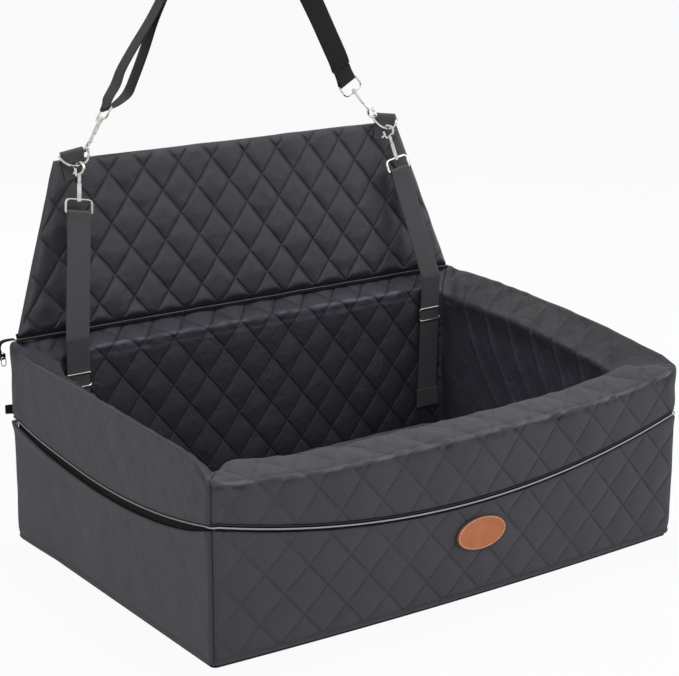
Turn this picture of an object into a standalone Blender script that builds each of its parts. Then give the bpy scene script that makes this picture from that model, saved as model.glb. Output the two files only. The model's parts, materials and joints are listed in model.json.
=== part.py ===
"""A padded booster bed for a dog, made for a car's back seat.

Metres, +Z up. The origin is the middle of the underside. +X runs along the front, to the right of
someone who looks at it, and +Y runs to the back, where the flap stands.
"""
import math

import bmesh
import bpy
from mathutils import Matrix, Vector

# Clearances and fine steps
GAP = 0.0003
CUT_OVERRUN = 0.002
MERGE_DISTANCE = 0.00002

# Box
BOX_WIDTH = 0.820
BOX_DEPTH = 0.560
WALL_THICKNESS = 0.050
OUTER_CORNER_RADIUS = 0.012
INNER_CORNER_RADIUS = 0.006
COVER_THICKNESS = 0.006
RIM_PADDING = 0.016
BACK_RIM_PADDING = 0.040
SHOULDER_DROP = 0.026
FRONT_BULGE = 0.011

# Height of the rim at the corners and near both ends of the left wall, and how it bows between them
FRONT_LEFT_HEIGHT = 0.267
FRONT_RIGHT_HEIGHT = 0.276
BACK_HEIGHT = 0.3135
LEFT_REAR_HEIGHT = 0.2985
LEFT_FORE_HEIGHT = 0.283
FRONT_RIM_SAG = 0.021
RIGHT_RIM_RISE = 0.012

# Zip line round the front and sides
ZIP_END_HEIGHT = 0.196
ZIP_FRONT_SAG = 0.052
ZIP_SIDE_SAG = 0.030
ZIP_STRIP_HEIGHT = 0.006
ZIP_STRIP_THICKNESS = 0.0024
ZIP_PLAY = 0.0005
SLIDER_LENGTH = 0.009
SLIDER_WALL = 0.0012
PULLER_WIDTH = 0.009
PULLER_LENGTH = 0.015
PULLER_WIRE = 0.0016
BRIDGE_HEIGHT = 0.0034
BRIDGE_LENGTH = 0.006

# Floor of the box
GRIP_THICKNESS = 0.0015
GRIP_INSET = 0.004
BOTTOM_THICKNESS = 0.002
BOARD_THICKNESS = 0.004
BOARD_INSET = 0.009

# Mattress
MATTRESS_HEIGHT = 0.062
MATTRESS_CROWN = 0.014
MATTRESS_DRAW = 0.006
MATTRESS_PLAY = 0.003
MATTRESS_CORNER_RADIUS = 0.040

# Badge
BADGE_WIDTH = 0.090
BADGE_HEIGHT = 0.050
BADGE_THICKNESS = 0.0022
BADGE_EDGE = 0.0008
BADGE_X = 0.026
BADGE_Z = 0.096

# Flap
FLAP_END_INSET = 0.005
FLAP_FOOT_WIDTH = BOX_WIDTH - 2 * FLAP_END_INSET
FLAP_TOP_WIDTH = 0.632
FLAP_LENGTH = 0.256
FLAP_HINGE_INSET = 0.010
FLAP_LEAN_ANGLE = 7.3
FLAP_COVER_THICKNESS = 0.006
FLAP_BOARD_THICKNESS = 0.003
FLAP_BACK_THICKNESS = 0.0024
FLAP_EDGE_WIDTH = 0.009
FLAP_ZIP_RADIUS = 0.0025
FLAP_ZIP_REACH = 0.021
FLAP_ZIP_DROP = 0.020
FLAP_ZIP_BEND = 0.008

# Quilting of the flap
DIAMOND_WIDTH = 0.060
DIAMOND_HEIGHT = 0.079
QUILT_DEPTH = 0.003
QUILT_MARGIN = 0.006
STITCH_SHARE = 0.2

# Webbing
WEBBING_WIDTH = 0.038
WEBBING_THICKNESS = 0.0016

# Rings in their tabs
RING_END_DISTANCE = 0.029
RING_X = FLAP_TOP_WIDTH / 2 - RING_END_DISTANCE
RING_ABOVE_EDGE = 0.0105
RING_WIRE = 0.004
RING_DEPTH = 0.024
RING_BAR_CORNER = 0.0026
RING_SIDE_PLAY = 0.0036
RING_TILT_ANGLE = 8.0
RING_LEAN_ANGLE = 26.0
TAB_SHIFT = 0.0025
TAB_FOOT_LENGTH = 0.040
TAB_FRONT_LENGTH = 0.012

# Snap hooks, measured along the stem from the eye's near bar
HOOK_STEM_LENGTH = 0.038
HOOK_STEM_RADIUS = 0.0026
HOOK_BARREL_LENGTH = 0.024
HOOK_BARREL_RADIUS = 0.0034
HOOK_SEAT_PLAY = 0.0008
HOOK_SLANT_PLAY = 0.0014
HOOK_SIDE_PLAY = 0.0011
HOOK_CLAW_RADIUS = 0.0085
HOOK_WIRE_RADIUS = 0.0021
HOOK_PIN_RADIUS = 0.0015
HOOK_HEAD_RADIUS = 0.0030
HOOK_HEAD_ROUNDING_SHARE = 0.7
HOOK_HEAD_THICKNESS = 0.0014
HOOK_PIN_PLAY = 0.0004
HOOK_CLAW_SWEEP_ANGLE = 250.0
HOOK_TIP_SHARE = 0.6
GATE_WIDTH = 0.0022
GATE_DEPTH = 0.0032
GATE_THUMB_LENGTH = 0.0055
EYE_DEPTH = 0.020
EYE_WIRE_RADIUS = 0.0018
EYE_NEAR_CORNER_RADIUS = 0.0065
EYE_FAR_CORNER_RADIUS = 0.0024
EYE_SIDE_PLAY = 0.0007
BOSS_RADIUS = 0.0040
BOSS_HEIGHT = 0.0052

# How far each hook is turned about its own line, in degrees
LEFT_TETHER_SPIN_ANGLE = 25.8
RIGHT_TETHER_SPIN_ANGLE = 34.4
LEFT_HEADREST_SPIN_ANGLE = 11.5
RIGHT_HEADREST_SPIN_ANGLE = 5.7

# Tether straps, from the rings down the inner face of the back wall
TETHER_SIDE_CLEARANCE = 0.030
TETHER_X = BOX_WIDTH / 2 - WALL_THICKNESS - TETHER_SIDE_CLEARANCE
TETHER_EDGE_CLEARANCE = 0.008
TETHER_EDGE_RISE = 0.003
TETHER_FOOT_HEIGHT = 0.090
TETHER_LANDING_HEIGHT = 0.130
TETHER_ADJUSTER_HEIGHT = 0.252
TETHER_SEAM_LENGTH = 0.028
ANCHOR_WIDTH = 0.044
ANCHOR_HEIGHT = 0.030
LOOP_MERGE_LENGTH = 0.014

# Three-bar adjusters
ADJUSTER_LENGTH = 0.024
ADJUSTER_RAIL = 0.0028
ADJUSTER_BAR = 0.0030
ADJUSTER_BAR_DEPTH = 0.0022
ADJUSTER_SIDE_PLAY = 0.0008
ADJUSTER_CORNER = 0.0006

# Headrest strap. The route runs from the right eye up round the headrest and down to the left eye.
# Each place is (x, y, z), and each turn is how far the webbing is twisted there, in degrees.
RIGHT_EYE_AIM = (-0.443, 0.458, 0.771)
LEFT_EYE_AIM = (0.603, 0.153, 0.783)
LEFT_EYE_WIDTH_WAY = (0.14, 0.97, -0.20)
HEADREST_ROUTE = (
    (0.2155, 0.3310, 0.6790), (0.2000, 0.3320, 0.7100), (0.1840, 0.3330, 0.7420), (0.1680, 0.3350, 0.7740),
    (0.1540, 0.3370, 0.8020), (0.1370, 0.3390, 0.8340), (0.1110, 0.3410, 0.8660), (0.0740, 0.3430, 0.8890),
    (0.0300, 0.3440, 0.8980), (-0.0140, 0.3440, 0.8920), (-0.0490, 0.3420, 0.8720),
)
HEADREST_TURNS = (0, 0, 0, -3, -10, -28, -52, -76, -90, -90, -87)
ADJUSTER_PLACE = (-0.0940, 0.3360, 0.8150)
ADJUSTER_LEAD = 0.030
DOUBLED_ROUTE = (
    (-0.1120, 0.3340, 0.7860), (-0.1300, 0.3325, 0.7570), (-0.1510, 0.3310, 0.7220),
    (-0.1720, 0.3290, 0.6880), (-0.1880, 0.3240, 0.6640),
)
DOUBLED_SPREADS = (0.0013, 0.0034, 0.0085, 0.0120, 0.0118, 0.0075)
EYE_LEAD = 0.015
DOUBLED_TURN_ANGLE = -82.0
RIGHT_SEAM_LENGTH = 0.024
TAIL_LENGTH = 0.022

# Counts and shapes
LONG_SIDE_STEPS = 14
SHORT_SIDE_STEPS = 10
CORNER_STEPS = 4
CORNER_RISE_POWER = 24
ZIP_SIDE_STEPS = 24
WIRE_SIDES = 8
BEND_STEPS = 4
RING_STEPS = 16
CLAW_STEPS = 13
MATTRESS_COLUMNS = 26
MATTRESS_ROWS = 18
BADGE_STEPS = 36


def clear_scene():
    for old in list(bpy.data.objects):
        bpy.data.objects.remove(old, do_unlink=True)


def make_material(name, color, roughness, metallic=0.0):
    """A Principled material, its colour given as it looks on screen."""
    material = bpy.data.materials.new(name)
    material.use_nodes = True
    shader = material.node_tree.nodes["Principled BSDF"]
    linear = [((c + 0.055) / 1.055) ** 2.4 if c > 0.04045 else c / 12.92 for c in color]
    shader.inputs["Base Color"].default_value = (*linear, 1.0)
    shader.inputs["Roughness"].default_value = roughness
    shader.inputs["Metallic"].default_value = metallic
    material.diffuse_color = (*linear, 1.0)
    return material


def make_materials():
    return {
        "cover": make_material("charcoal_cover", (0.27, 0.27, 0.285), 0.85),
        "quilt": make_material("quilted_nylon", (0.20, 0.205, 0.22), 0.60),
        "lining": make_material("mattress_cloth", (0.24, 0.245, 0.26), 0.90),
        "grip": make_material("grip_sheet", (0.10, 0.10, 0.11), 0.75),
        "foam": make_material("foam", (0.85, 0.84, 0.80), 0.95),
        "board": make_material("board", (0.35, 0.34, 0.32), 0.70),
        "zip": make_material("zip", (0.12, 0.12, 0.13), 0.55),
        "webbing": make_material("webbing", (0.23, 0.235, 0.25), 0.80),
        "metal": make_material("nickel", (0.83, 0.82, 0.80), 0.18, 1.0),
        "leather": make_material("leather", (0.77, 0.45, 0.26), 0.60),
    }


def add_mesh(name, bm, parent=None):
    """Turns a bmesh into a named object, with its faces pointing out."""
    bmesh.ops.recalc_face_normals(bm, faces=bm.faces)
    mesh = bpy.data.meshes.new(name)
    bm.to_mesh(mesh)
    bm.free()
    item = bpy.data.objects.new(name, mesh)
    bpy.context.collection.objects.link(item)
    item.parent = parent
    return item


def add_piece(name, bm, material, parent=None, smooth=True):
    """A piece of the part, shaded smooth except at its sharp edges."""
    piece = add_mesh(name, bm, parent)
    piece.data.materials.append(material)
    if smooth:
        piece.data.shade_smooth()
        piece.data.set_sharp_from_angle(angle=math.radians(35))
    return piece


def add_cutter(name, bm, parent=None):
    """A body that only shapes another piece."""
    cutter = add_mesh(name, bm, parent)
    cutter.hide_render = True
    cutter.display_type = "WIRE"
    return cutter


def add_empty(name, matrix):
    empty = bpy.data.objects.new(name, None)
    empty.empty_display_size = WEBBING_WIDTH
    bpy.context.collection.objects.link(empty)
    empty.matrix_world = matrix
    return empty


def add_boolean(piece, other, operation, solver="EXACT"):
    modifier = piece.modifiers.new(operation.lower(), "BOOLEAN")
    modifier.operation = operation
    modifier.solver = solver
    modifier.object = other


def skin(bm, loops, closed=False):
    """Joins loops of points, which all have as many points, and caps the ends unless it closes."""
    rings = [[bm.verts.new(point) for point in loop] for loop in loops]
    count = len(rings[0])
    pairs = list(zip(rings, rings[1:]))
    if closed:
        pairs.append((rings[-1], rings[0]))
    for near, far in pairs:
        for i in range(count):
            j = (i + 1) % count
            bm.faces.new((near[i], near[j], far[j], far[i]))
    if not closed:
        bm.faces.new(rings[0])
        bm.faces.new(reversed(rings[-1]))
    return rings


def directions(points, closed=False):
    """The unit direction of a line at each of its points."""
    count = len(points)
    result = []
    for i in range(count):
        before = points[i - 1] if closed or i > 0 else points[i]
        after = points[(i + 1) % count] if closed or i < count - 1 else points[i]
        result.append((after - before).normalized())
    return result


def square_to(vector, axis):
    """The part of a vector that is square to an axis, as a unit vector."""
    return (vector - axis * vector.dot(axis)).normalized()


def tube_loops(points, radii, side, closed=False, sides=WIRE_SIDES):
    """Round sections along a line; side is a direction that the sections are set out from."""
    loops = []
    for point, along, radius in zip(points, directions(points, closed), radii):
        across = square_to(side, along)
        up = along.cross(across)
        turns = [math.tau * (k + 0.5) / sides for k in range(sides)]
        loops.append([point + (across * math.cos(t) + up * math.sin(t)) * radius for t in turns])
    return loops


def strap_loops(points, widths, width=WEBBING_WIDTH, thickness=WEBBING_THICKNESS):
    """Flat sections along a line; widths holds the direction of the webbing's width at each point."""
    loops = []
    for point, along, across in zip(points, directions(points), widths):
        across = square_to(across, along) * (width / 2)
        up = along.cross(across).normalized() * (thickness / 2)
        loops.append([point + across + up, point - across + up, point - across - up, point + across - up])
    return loops


def smooth_line(points, steps):
    """Points on a smooth curve through the given ones."""
    result = []
    for i in range(len(points) - 1):
        p1, p2 = points[i], points[i + 1]
        p0 = points[i - 1] if i > 0 else p1 * 2 - p2
        p3 = points[i + 2] if i + 2 < len(points) else p2 * 2 - p1
        for k in range(steps):
            t = k / steps
            bend = (p0 * 2 - p1 * 5 + p2 * 4 - p3) * (t * t) + (p1 * 3 - p0 - p2 * 3 + p3) * (t ** 3)
            result.append((p1 * 2 + (p2 - p0) * t + bend) / 2)
    result.append(points[-1])
    return result


def box_mesh(low, high):
    """A block between two corners."""
    bm = bmesh.new()
    bmesh.ops.create_cube(bm, size=1.0)
    low, high = Vector(low), Vector(high)
    size = high - low
    for vert in bm.verts:
        vert.co = Vector((vert.co.x * size.x, vert.co.y * size.y, vert.co.z * size.z)) + (low + high) / 2
    return bm


# Plan of the box


def mix(a, b, share):
    return a + (b - a) * share


class Station:
    """One place round the wall, with its inner and outer plan points."""

    def __init__(self, side, share, inner, outer, outward):
        self.side = side
        self.share = share
        self.inner = inner
        self.outer = outer
        self.outward = outward

    def point(self, across_share, height, bulge_share=0.0):
        """A point of the wall: 0 is its inner face, 1 its outer face."""
        bow = 1 - (2 * self.share - 1) ** 2 if self.side == "front" else 0.0
        plan = self.inner.lerp(self.outer, across_share) + self.outward * (FRONT_BULGE * bow * bulge_share)
        return Vector((plan.x, plan.y, height))


def rounded_corner(half_width, half_depth, radius, signs, share):
    """A point of a rounded corner; the share runs from the side that comes first round the box."""
    centre = Vector((signs[0] * (half_width - radius), signs[1] * (half_depth - radius)))
    first = Vector((0, signs[1])) if signs[0] * signs[1] < 0 else Vector((signs[0], 0))
    last = Vector((signs[0], 0)) if signs[0] * signs[1] < 0 else Vector((0, signs[1]))
    turn = share * math.pi / 2
    outward = first * math.cos(turn) + last * math.sin(turn)
    return centre + outward * radius, outward


def corner_pair(signs, share):
    half_width, half_depth = BOX_WIDTH / 2, BOX_DEPTH / 2
    outer, outward = rounded_corner(half_width, half_depth, OUTER_CORNER_RADIUS, signs, share)
    inner, _ = rounded_corner(half_width - WALL_THICKNESS, half_depth - WALL_THICKNESS,
                              INNER_CORNER_RADIUS, signs, share)
    return inner, outer, outward


SIDES = (
    ("front", (-1, -1), (1, -1), LONG_SIDE_STEPS),
    ("right", (1, -1), (1, 1), SHORT_SIDE_STEPS),
    ("back", (1, 1), (-1, 1), LONG_SIDE_STEPS),
    ("left", (-1, 1), (-1, -1), SHORT_SIDE_STEPS),
)


def side_stations(side, start, end, steps):
    """Stations along one straight side, from corner to corner."""
    inner_a, outer_a, outward = corner_pair(start, 1.0)
    inner_b, outer_b, _ = corner_pair(end, 0.0)
    stations = []
    for i in range(steps + 1):
        share = i / steps
        inner = inner_a.lerp(inner_b, share)
        outer = outer_a.lerp(outer_b, share)
        stations.append(Station(side, share, inner, outer, outward))
    return stations


def corner_stations(side, corner):
    """Stations of the corner at the end of a side, without its two ends."""
    stations = []
    for i in range(1, CORNER_STEPS):
        inner, outer, outward = corner_pair(corner, i / CORNER_STEPS)
        stations.append(Station(side + "_corner", 1.0, inner, outer, outward))
    return stations


def wall_stations():
    stations = []
    for side, start, end, steps in SIDES:
        stations += side_stations(side, start, end, steps)
        stations += corner_stations(side, end)
    return stations


def rim_height(station):
    """Height of the rim's highest line."""
    share = station.share
    bow = 4 * share * (1 - share)
    if station.side == "front":
        sag = FRONT_RIM_SAG * (1 - (2 * share - 1) ** 4)
        return mix(FRONT_LEFT_HEIGHT, FRONT_RIGHT_HEIGHT, share) - sag
    if station.side == "front_corner":
        return FRONT_RIGHT_HEIGHT
    if station.side == "right":
        return mix(FRONT_RIGHT_HEIGHT, BACK_HEIGHT, share) + RIGHT_RIM_RISE * bow
    if station.side == "left":
        rear = (BACK_HEIGHT - LEFT_REAR_HEIGHT) * (1 - share) ** CORNER_RISE_POWER
        fore = (FRONT_LEFT_HEIGHT - LEFT_FORE_HEIGHT) * share ** CORNER_RISE_POWER
        return mix(LEFT_REAR_HEIGHT, LEFT_FORE_HEIGHT, share) + rear + fore
    if station.side == "left_corner":
        return FRONT_LEFT_HEIGHT
    return BACK_HEIGHT


def foam_height(point):
    """Height of the hollow that the foam boards fill, at a plan point.

    It rises evenly from the front board to the back board, and is level across each of them."""
    front_height = FRONT_LEFT_HEIGHT - FRONT_RIM_SAG - RIM_PADDING
    back_height = BACK_HEIGHT - BACK_RIM_PADDING
    reach = BOX_DEPTH / 2 - OUTER_CORNER_RADIUS
    share = (point.y + reach) / (2 * reach)
    return mix(front_height, back_height, min(1.0, max(0.0, share)))


ZIP_HALF_CHORD = BOX_DEPTH / 2 - OUTER_CORNER_RADIUS
ZIP_ARC_RADIUS = (ZIP_HALF_CHORD ** 2 + ZIP_SIDE_SAG ** 2) / (2 * ZIP_SIDE_SAG)
ZIP_ARC_CENTRE_HEIGHT = ZIP_END_HEIGHT - ZIP_SIDE_SAG + ZIP_ARC_RADIUS


def zip_height(station):
    """Height of the zip line: a dip along the front, an arc of a circle along each side."""
    if station.side == "front":
        return ZIP_END_HEIGHT - ZIP_FRONT_SAG * (1 - (2 * station.share - 1) ** 2)
    if station.side in ("left", "right"):
        return ZIP_ARC_CENTRE_HEIGHT - math.sqrt(ZIP_ARC_RADIUS ** 2 - station.outer.y ** 2)
    return ZIP_END_HEIGHT


# Heights of the layers of the floor
LOWER_BOTTOM = GRIP_THICKNESS + GAP
FLOOR_TOP = LOWER_BOTTOM + BOTTOM_THICKNESS
BOARD_BOTTOM = FLOOR_TOP + GAP
WALL_FOOT = BOARD_BOTTOM + BOARD_THICKNESS + GAP

# The cover's thickness as a share of the wall's
COVER_SHARE = COVER_THICKNESS / WALL_THICKNESS


def outline_prism(bm, across_share, low, high, inset=0.0):
    """A flat sheet in the box's plan, between two heights."""
    loops = []
    for height in (low, high):
        loop = []
        for station in wall_stations():
            point = station.point(across_share, height, 1.0)
            loop.append(point - Vector((station.outward.x, station.outward.y, 0)) * inset)
        loops.append(loop)
    skin(bm, loops)


def make_floor(materials):
    grip = bmesh.new()
    outline_prism(grip, 1.0, 0.0, GRIP_THICKNESS, GRIP_INSET)
    add_piece("base_grip_sheet", grip, materials["grip"])
    board = bmesh.new()
    outline_prism(board, 1.0, BOARD_BOTTOM, BOARD_BOTTOM + BOARD_THICKNESS, BOARD_INSET)
    add_piece("base_board", board, materials["board"])


def make_lower_cover(materials):
    """An open tray: the outer skirt up to the zip line, and the bottom."""
    bm = bmesh.new()
    inner_share = 1 - COVER_SHARE
    foot = COVER_THICKNESS / 2
    loops = []
    for station in wall_stations():
        top = zip_height(station) - GAP
        middle = mix(LOWER_BOTTOM, top, 0.5)
        loops.append([
            station.point(1 - foot / WALL_THICKNESS, LOWER_BOTTOM, 1.0),
            station.point(1.0, LOWER_BOTTOM + foot, 1.0),
            station.point(1.0, middle, 1.0),
            station.point(1.0, top, 1.0),
            station.point(inner_share, top, 1.0),
            station.point(inner_share, FLOOR_TOP, 1.0),
        ])
    rings = [[bm.verts.new(point) for point in loop] for loop in loops]
    for near, far in zip(rings, rings[1:] + rings[:1]):
        for low, high in zip(range(5), range(1, 6)):
            bm.faces.new((near[low], near[high], far[high], far[low]))
    bm.faces.new([ring[0] for ring in rings])
    bm.faces.new([ring[5] for ring in reversed(rings)])
    add_piece("lower_cover", bm, materials["cover"])


# The rim's section from the outer face to the inner one. Each pair is a share across the wall and a
# share of the shoulder's drop below the rim's highest line. The front rim is highest near its inner
# edge, and the other three near their outer faces.
FRONT_RIM_SHARES = (
    (1.0, 0.62), (1.0, 0.44), (0.985, 0.375), (0.93, 0.325), (0.72, 0.22), (0.48, 0.11),
    (0.28, 0.02), (0.14, 0.0), (0.035, 0.12), (0.0, 0.40), (0.0, 0.80),
)
SIDE_RIM_SHARES = (
    (1.0, 0.40), (0.985, 0.17), (0.945, 0.04), (0.88, 0.0), (0.70, 0.115), (0.45, 0.30),
    (0.22, 0.47), (0.08, 0.62), (0.015, 0.81), (0.0, 1.04), (0.0, 1.20),
)


def rim_section(station):
    """The upper cover's section: up the outer face, across the rim's top, down the inner face."""
    top = rim_height(station)
    zip_edge = zip_height(station) + GAP
    shoulder = top - SHOULDER_DROP
    inner_top = foam_height(station.point(COVER_SHARE, 0))
    outer_top = foam_height(station.point(1 - COVER_SHARE, 0))
    front_share = max(0.0, -station.outward.y)
    section = [
        station.point(1.0, zip_edge, 1.0),
        station.point(1.0, mix(zip_edge, shoulder, 0.5), 0.8),
    ]
    for side_shares, front_shares in zip(SIDE_RIM_SHARES, FRONT_RIM_SHARES):
        across_share = mix(side_shares[0], front_shares[0], front_share)
        drop_share = mix(side_shares[1], front_shares[1], front_share)
        section.append(station.point(across_share, top - SHOULDER_DROP * drop_share, across_share / 2))
    return section + [
        station.point(0.0, mix(WALL_FOOT, shoulder, 0.5), 0.0),
        station.point(0.0, WALL_FOOT, 0.0),
        station.point(COVER_SHARE, WALL_FOOT, 0.0),
        station.point(COVER_SHARE, inner_top, 0.0),
        station.point(1 - COVER_SHARE, outer_top, 0.5),
        station.point(1 - COVER_SHARE, zip_edge, 1.0),
    ]


def make_upper_cover(materials):
    bm = bmesh.new()
    skin(bm, [rim_section(station) for station in wall_stations()], closed=True)
    add_piece("upper_cover", bm, materials["cover"])


def foam_loop(station):
    near = COVER_SHARE + GAP / WALL_THICKNESS
    far = 1 - near
    loop = []
    for share, top in ((near, False), (far, False), (far, True), (near, True)):
        point = station.point(share, WALL_FOOT)
        if top:
            point.z = foam_height(point) - GAP
        loop.append(point)
    return loop


def make_foam_walls(materials):
    """Front and back boards run right across, and the side boards stand between them."""
    reach = BOX_DEPTH / 2 - WALL_THICKNESS - INNER_CORNER_RADIUS
    for side, start, end, _ in SIDES:
        first, last = side_stations(side, start, end, 1)
        if side in ("left", "right"):
            for station in (first, last):
                for place in (station.inner, station.outer):
                    place.y = math.copysign(reach, place.y)
        bm = bmesh.new()
        skin(bm, [foam_loop(first), foam_loop(last)])
        add_piece(side + "_foam", bm, materials["foam"], smooth=False)


def superellipse_inset(x_share, y_share):
    """How far a place of the mattress is from its rim: 1 in the middle, 0 at the edge."""
    return (1 - abs(x_share) ** 6) * (1 - abs(y_share) ** 6)


def make_mattress(materials):
    """A crowned cushion whose sides are drawn in between its corners."""
    half_width = BOX_WIDTH / 2 - WALL_THICKNESS - MATTRESS_PLAY
    half_depth = BOX_DEPTH / 2 - WALL_THICKNESS - MATTRESS_PLAY
    radius = MATTRESS_CORNER_RADIUS
    bottom = WALL_FOOT
    side_height = MATTRESS_HEIGHT - MATTRESS_CROWN

    def plan(x_share, y_share):
        """Squeezes the square grid into a plan with round corners and drawn-in sides."""
        x, y = x_share * half_width, y_share * half_depth
        over_x, over_y = abs(x) - (half_width - radius), abs(y) - (half_depth - radius)
        if over_x > 0 and over_y > 0:
            reach = max(over_x, over_y)
            length = math.hypot(over_x, over_y)
            x = math.copysign(half_width - radius + over_x * reach / length, x)
            y = math.copysign(half_depth - radius + over_y * reach / length, y)
        x -= math.copysign(MATTRESS_DRAW * (1 - y_share ** 2) * x_share ** 4, x)
        y -= math.copysign(MATTRESS_DRAW * (1 - x_share ** 2) * y_share ** 4, y)
        return x, y

    def layer(height_at):
        rows = []
        for j in range(MATTRESS_ROWS + 1):
            y_share = 2 * j / MATTRESS_ROWS - 1
            row = []
            for i in range(MATTRESS_COLUMNS + 1):
                x_share = 2 * i / MATTRESS_COLUMNS - 1
                x, y = plan(x_share, y_share)
                row.append(bm.verts.new((x, y, height_at(x_share, y_share))))
            rows.append(row)
        return rows

    def crown(x_share, y_share):
        return bottom + side_height + MATTRESS_CROWN * superellipse_inset(x_share, y_share) ** 0.5

    bm = bmesh.new()
    top = layer(crown)
    for j in range(MATTRESS_ROWS):
        for i in range(MATTRESS_COLUMNS):
            bm.faces.new((top[j][i], top[j][i + 1], top[j + 1][i + 1], top[j + 1][i]))
    rim = top[0][:-1] + [row[-1] for row in top[:-1]] + top[-1][:0:-1] + [row[0] for row in top[:0:-1]]
    centre = Vector((0, 0, 0))
    level_shares = ((0.55, 0.25), (0.12, 0.25), (0.0, -1.0))
    previous = rim
    for height_share, swell_share in level_shares:
        ring = []
        for vert in rim:
            out = (Vector((vert.co.x, vert.co.y, 0)) - centre).normalized()
            point = vert.co + out * (MATTRESS_DRAW * swell_share)
            ring.append(bm.verts.new((point.x, point.y, bottom + side_height * height_share)))
        for i in range(len(rim)):
            j = (i + 1) % len(rim)
            bm.faces.new((previous[i], previous[j], ring[j], ring[i]))
        previous = ring
    bm.faces.new(previous)
    add_piece("mattress", bm, materials["lining"])


# Zips


def zip_line():
    """Places along the side zip, each with the direction that points out of the box."""
    places = []
    for side, start, end, steps in (SIDES[3], SIDES[0], SIDES[1]):
        count = steps if side == "front" else ZIP_SIDE_STEPS
        if side == "left":
            places += corner_stations("back", start)
        places += side_stations(side, start, end, count)
        places += corner_stations(side, end)
    return places


def make_side_zip(materials):
    """A flat strip of teeth over the seam between the two covers."""
    bm = bmesh.new()
    loops = []
    for station in zip_line():
        outward = Vector((station.outward.x, station.outward.y, 0))
        foot = station.point(1.0, zip_height(station), 1.0) + outward * GAP
        rise = Vector((0, 0, ZIP_STRIP_HEIGHT / 2))
        front = outward * ZIP_STRIP_THICKNESS
        loops.append([foot - rise, foot - rise * 0.8 + front, foot + rise * 0.8 + front, foot + rise])
    skin(bm, loops)
    add_piece("side_zip", bm, materials["zip"])


def slider_mesh(inner_height, inner_depth):
    """A slider's channel and bridge. X runs along the zip, -Y points out, and the back is open."""
    half = SLIDER_LENGTH / 2
    tall = inner_height / 2 + SLIDER_WALL
    depth = inner_depth + SLIDER_WALL
    outline = ((0, -tall), (-depth, -tall), (-depth, tall), (0, tall),
               (0, inner_height / 2), (-inner_depth, inner_height / 2),
               (-inner_depth, -inner_height / 2), (0, -inner_height / 2))
    bm = bmesh.new()
    skin(bm, [[Vector((x, y, z)) for y, z in outline] for x in (-half, half)])
    return bm, -depth


def bridge_mesh(face, along_zip):
    """The small arch that the puller hangs in. Its bar stands upright on the slider's front face."""
    half = BRIDGE_LENGTH / 2
    wall = SLIDER_WALL
    front = face - BRIDGE_HEIGHT
    outline = ((-half, face + wall / 2), (-half, front), (half, front), (half, face + wall / 2),
               (half - wall, face + wall / 2), (half - wall, front + wall),
               (wall - half, front + wall), (wall - half, face + wall / 2))
    bm = bmesh.new()
    if along_zip:
        skin(bm, [[Vector((u, y, w)) for u, y in outline] for w in (-wall / 2, wall / 2)])
    else:
        skin(bm, [[Vector((w, y, u)) for u, y in outline] for w in (-wall / 2, wall / 2)])
    return bm


def puller_mesh():
    """An oval wire ring, which hangs with its top wire through the bridge. That wire is the origin."""
    radius = PULLER_WIRE / 2
    bend = PULLER_WIDTH / 2 - radius
    points = []
    for centre, start in ((-bend, 0.0), (-(PULLER_LENGTH - bend - PULLER_WIRE), math.pi)):
        for k in range(BEND_STEPS * 2 + 1):
            turn = start + math.pi * k / (BEND_STEPS * 2)
            points.append(Vector((bend * math.cos(turn), 0, centre + bend * math.sin(turn))))
    bm = bmesh.new()
    side = Vector((0, 1, 0))
    skin(bm, tube_loops(points, [radius] * len(points), side, closed=True, sides=6), closed=True)
    return bm


def make_slider(name, matrix, hang_matrix, inner_height, inner_depth, along_zip, materials):
    """A slider with its bridge and its puller. The matrix stands on the zip line."""
    mount = add_empty(name + "_mount", matrix)
    channel, face = slider_mesh(inner_height, inner_depth)
    body = add_piece(name + "_slider", channel, materials["metal"], mount)
    bridge = add_cutter(name + "_bridge", bridge_mesh(face, along_zip), mount)
    add_boolean(body, bridge, "UNION", "MANIFOLD")
    hang = face - (BRIDGE_HEIGHT - SLIDER_WALL) / 2
    rest = SLIDER_WALL - BRIDGE_LENGTH / 2 + PULLER_WIRE / 2 + GAP
    pivot = add_empty(name + "_puller_pivot", hang_matrix @ Matrix.Translation((0, hang, rest)))
    add_piece(name + "_puller", puller_mesh(), materials["metal"], pivot)


def make_side_slider(materials):
    """The side zip's slider stands at the back end of the left side."""
    place = ZIP_HALF_CHORD - SLIDER_LENGTH
    height = ZIP_ARC_CENTRE_HEIGHT - math.sqrt(ZIP_ARC_RADIUS ** 2 - place ** 2)
    slope = math.asin(place / ZIP_ARC_RADIUS)
    offset = GAP * 2
    matrix = (Matrix.Translation((-BOX_WIDTH / 2 - offset, place, height))
              @ Matrix.Rotation(slope, 4, "X") @ Matrix.Rotation(-math.pi / 2, 4, "Z"))
    depth = ZIP_STRIP_THICKNESS + ZIP_PLAY
    make_slider("side_zip", matrix, matrix, ZIP_STRIP_HEIGHT + 2 * ZIP_PLAY, depth, False, materials)


# Flap. Its own frame has X along the foot, Z up along the flap and -Y towards the bed.
HINGE_HEIGHT = BACK_HEIGHT + FLAP_ZIP_RADIUS + GAP
HINGE_Y = BOX_DEPTH / 2 - FLAP_HINGE_INSET
FLAP_FOOT = FLAP_ZIP_RADIUS + GAP
FLAP_FRONT = -QUILT_DEPTH / 2
FLAP_BACK = FLAP_FRONT + FLAP_COVER_THICKNESS + FLAP_BOARD_THICKNESS + FLAP_BACK_THICKNESS + 2 * GAP


def flap_matrix():
    lean = Matrix.Rotation(-math.radians(FLAP_LEAN_ANGLE), 4, "X")
    return Matrix.Translation((0, HINGE_Y, HINGE_HEIGHT)) @ lean


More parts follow.
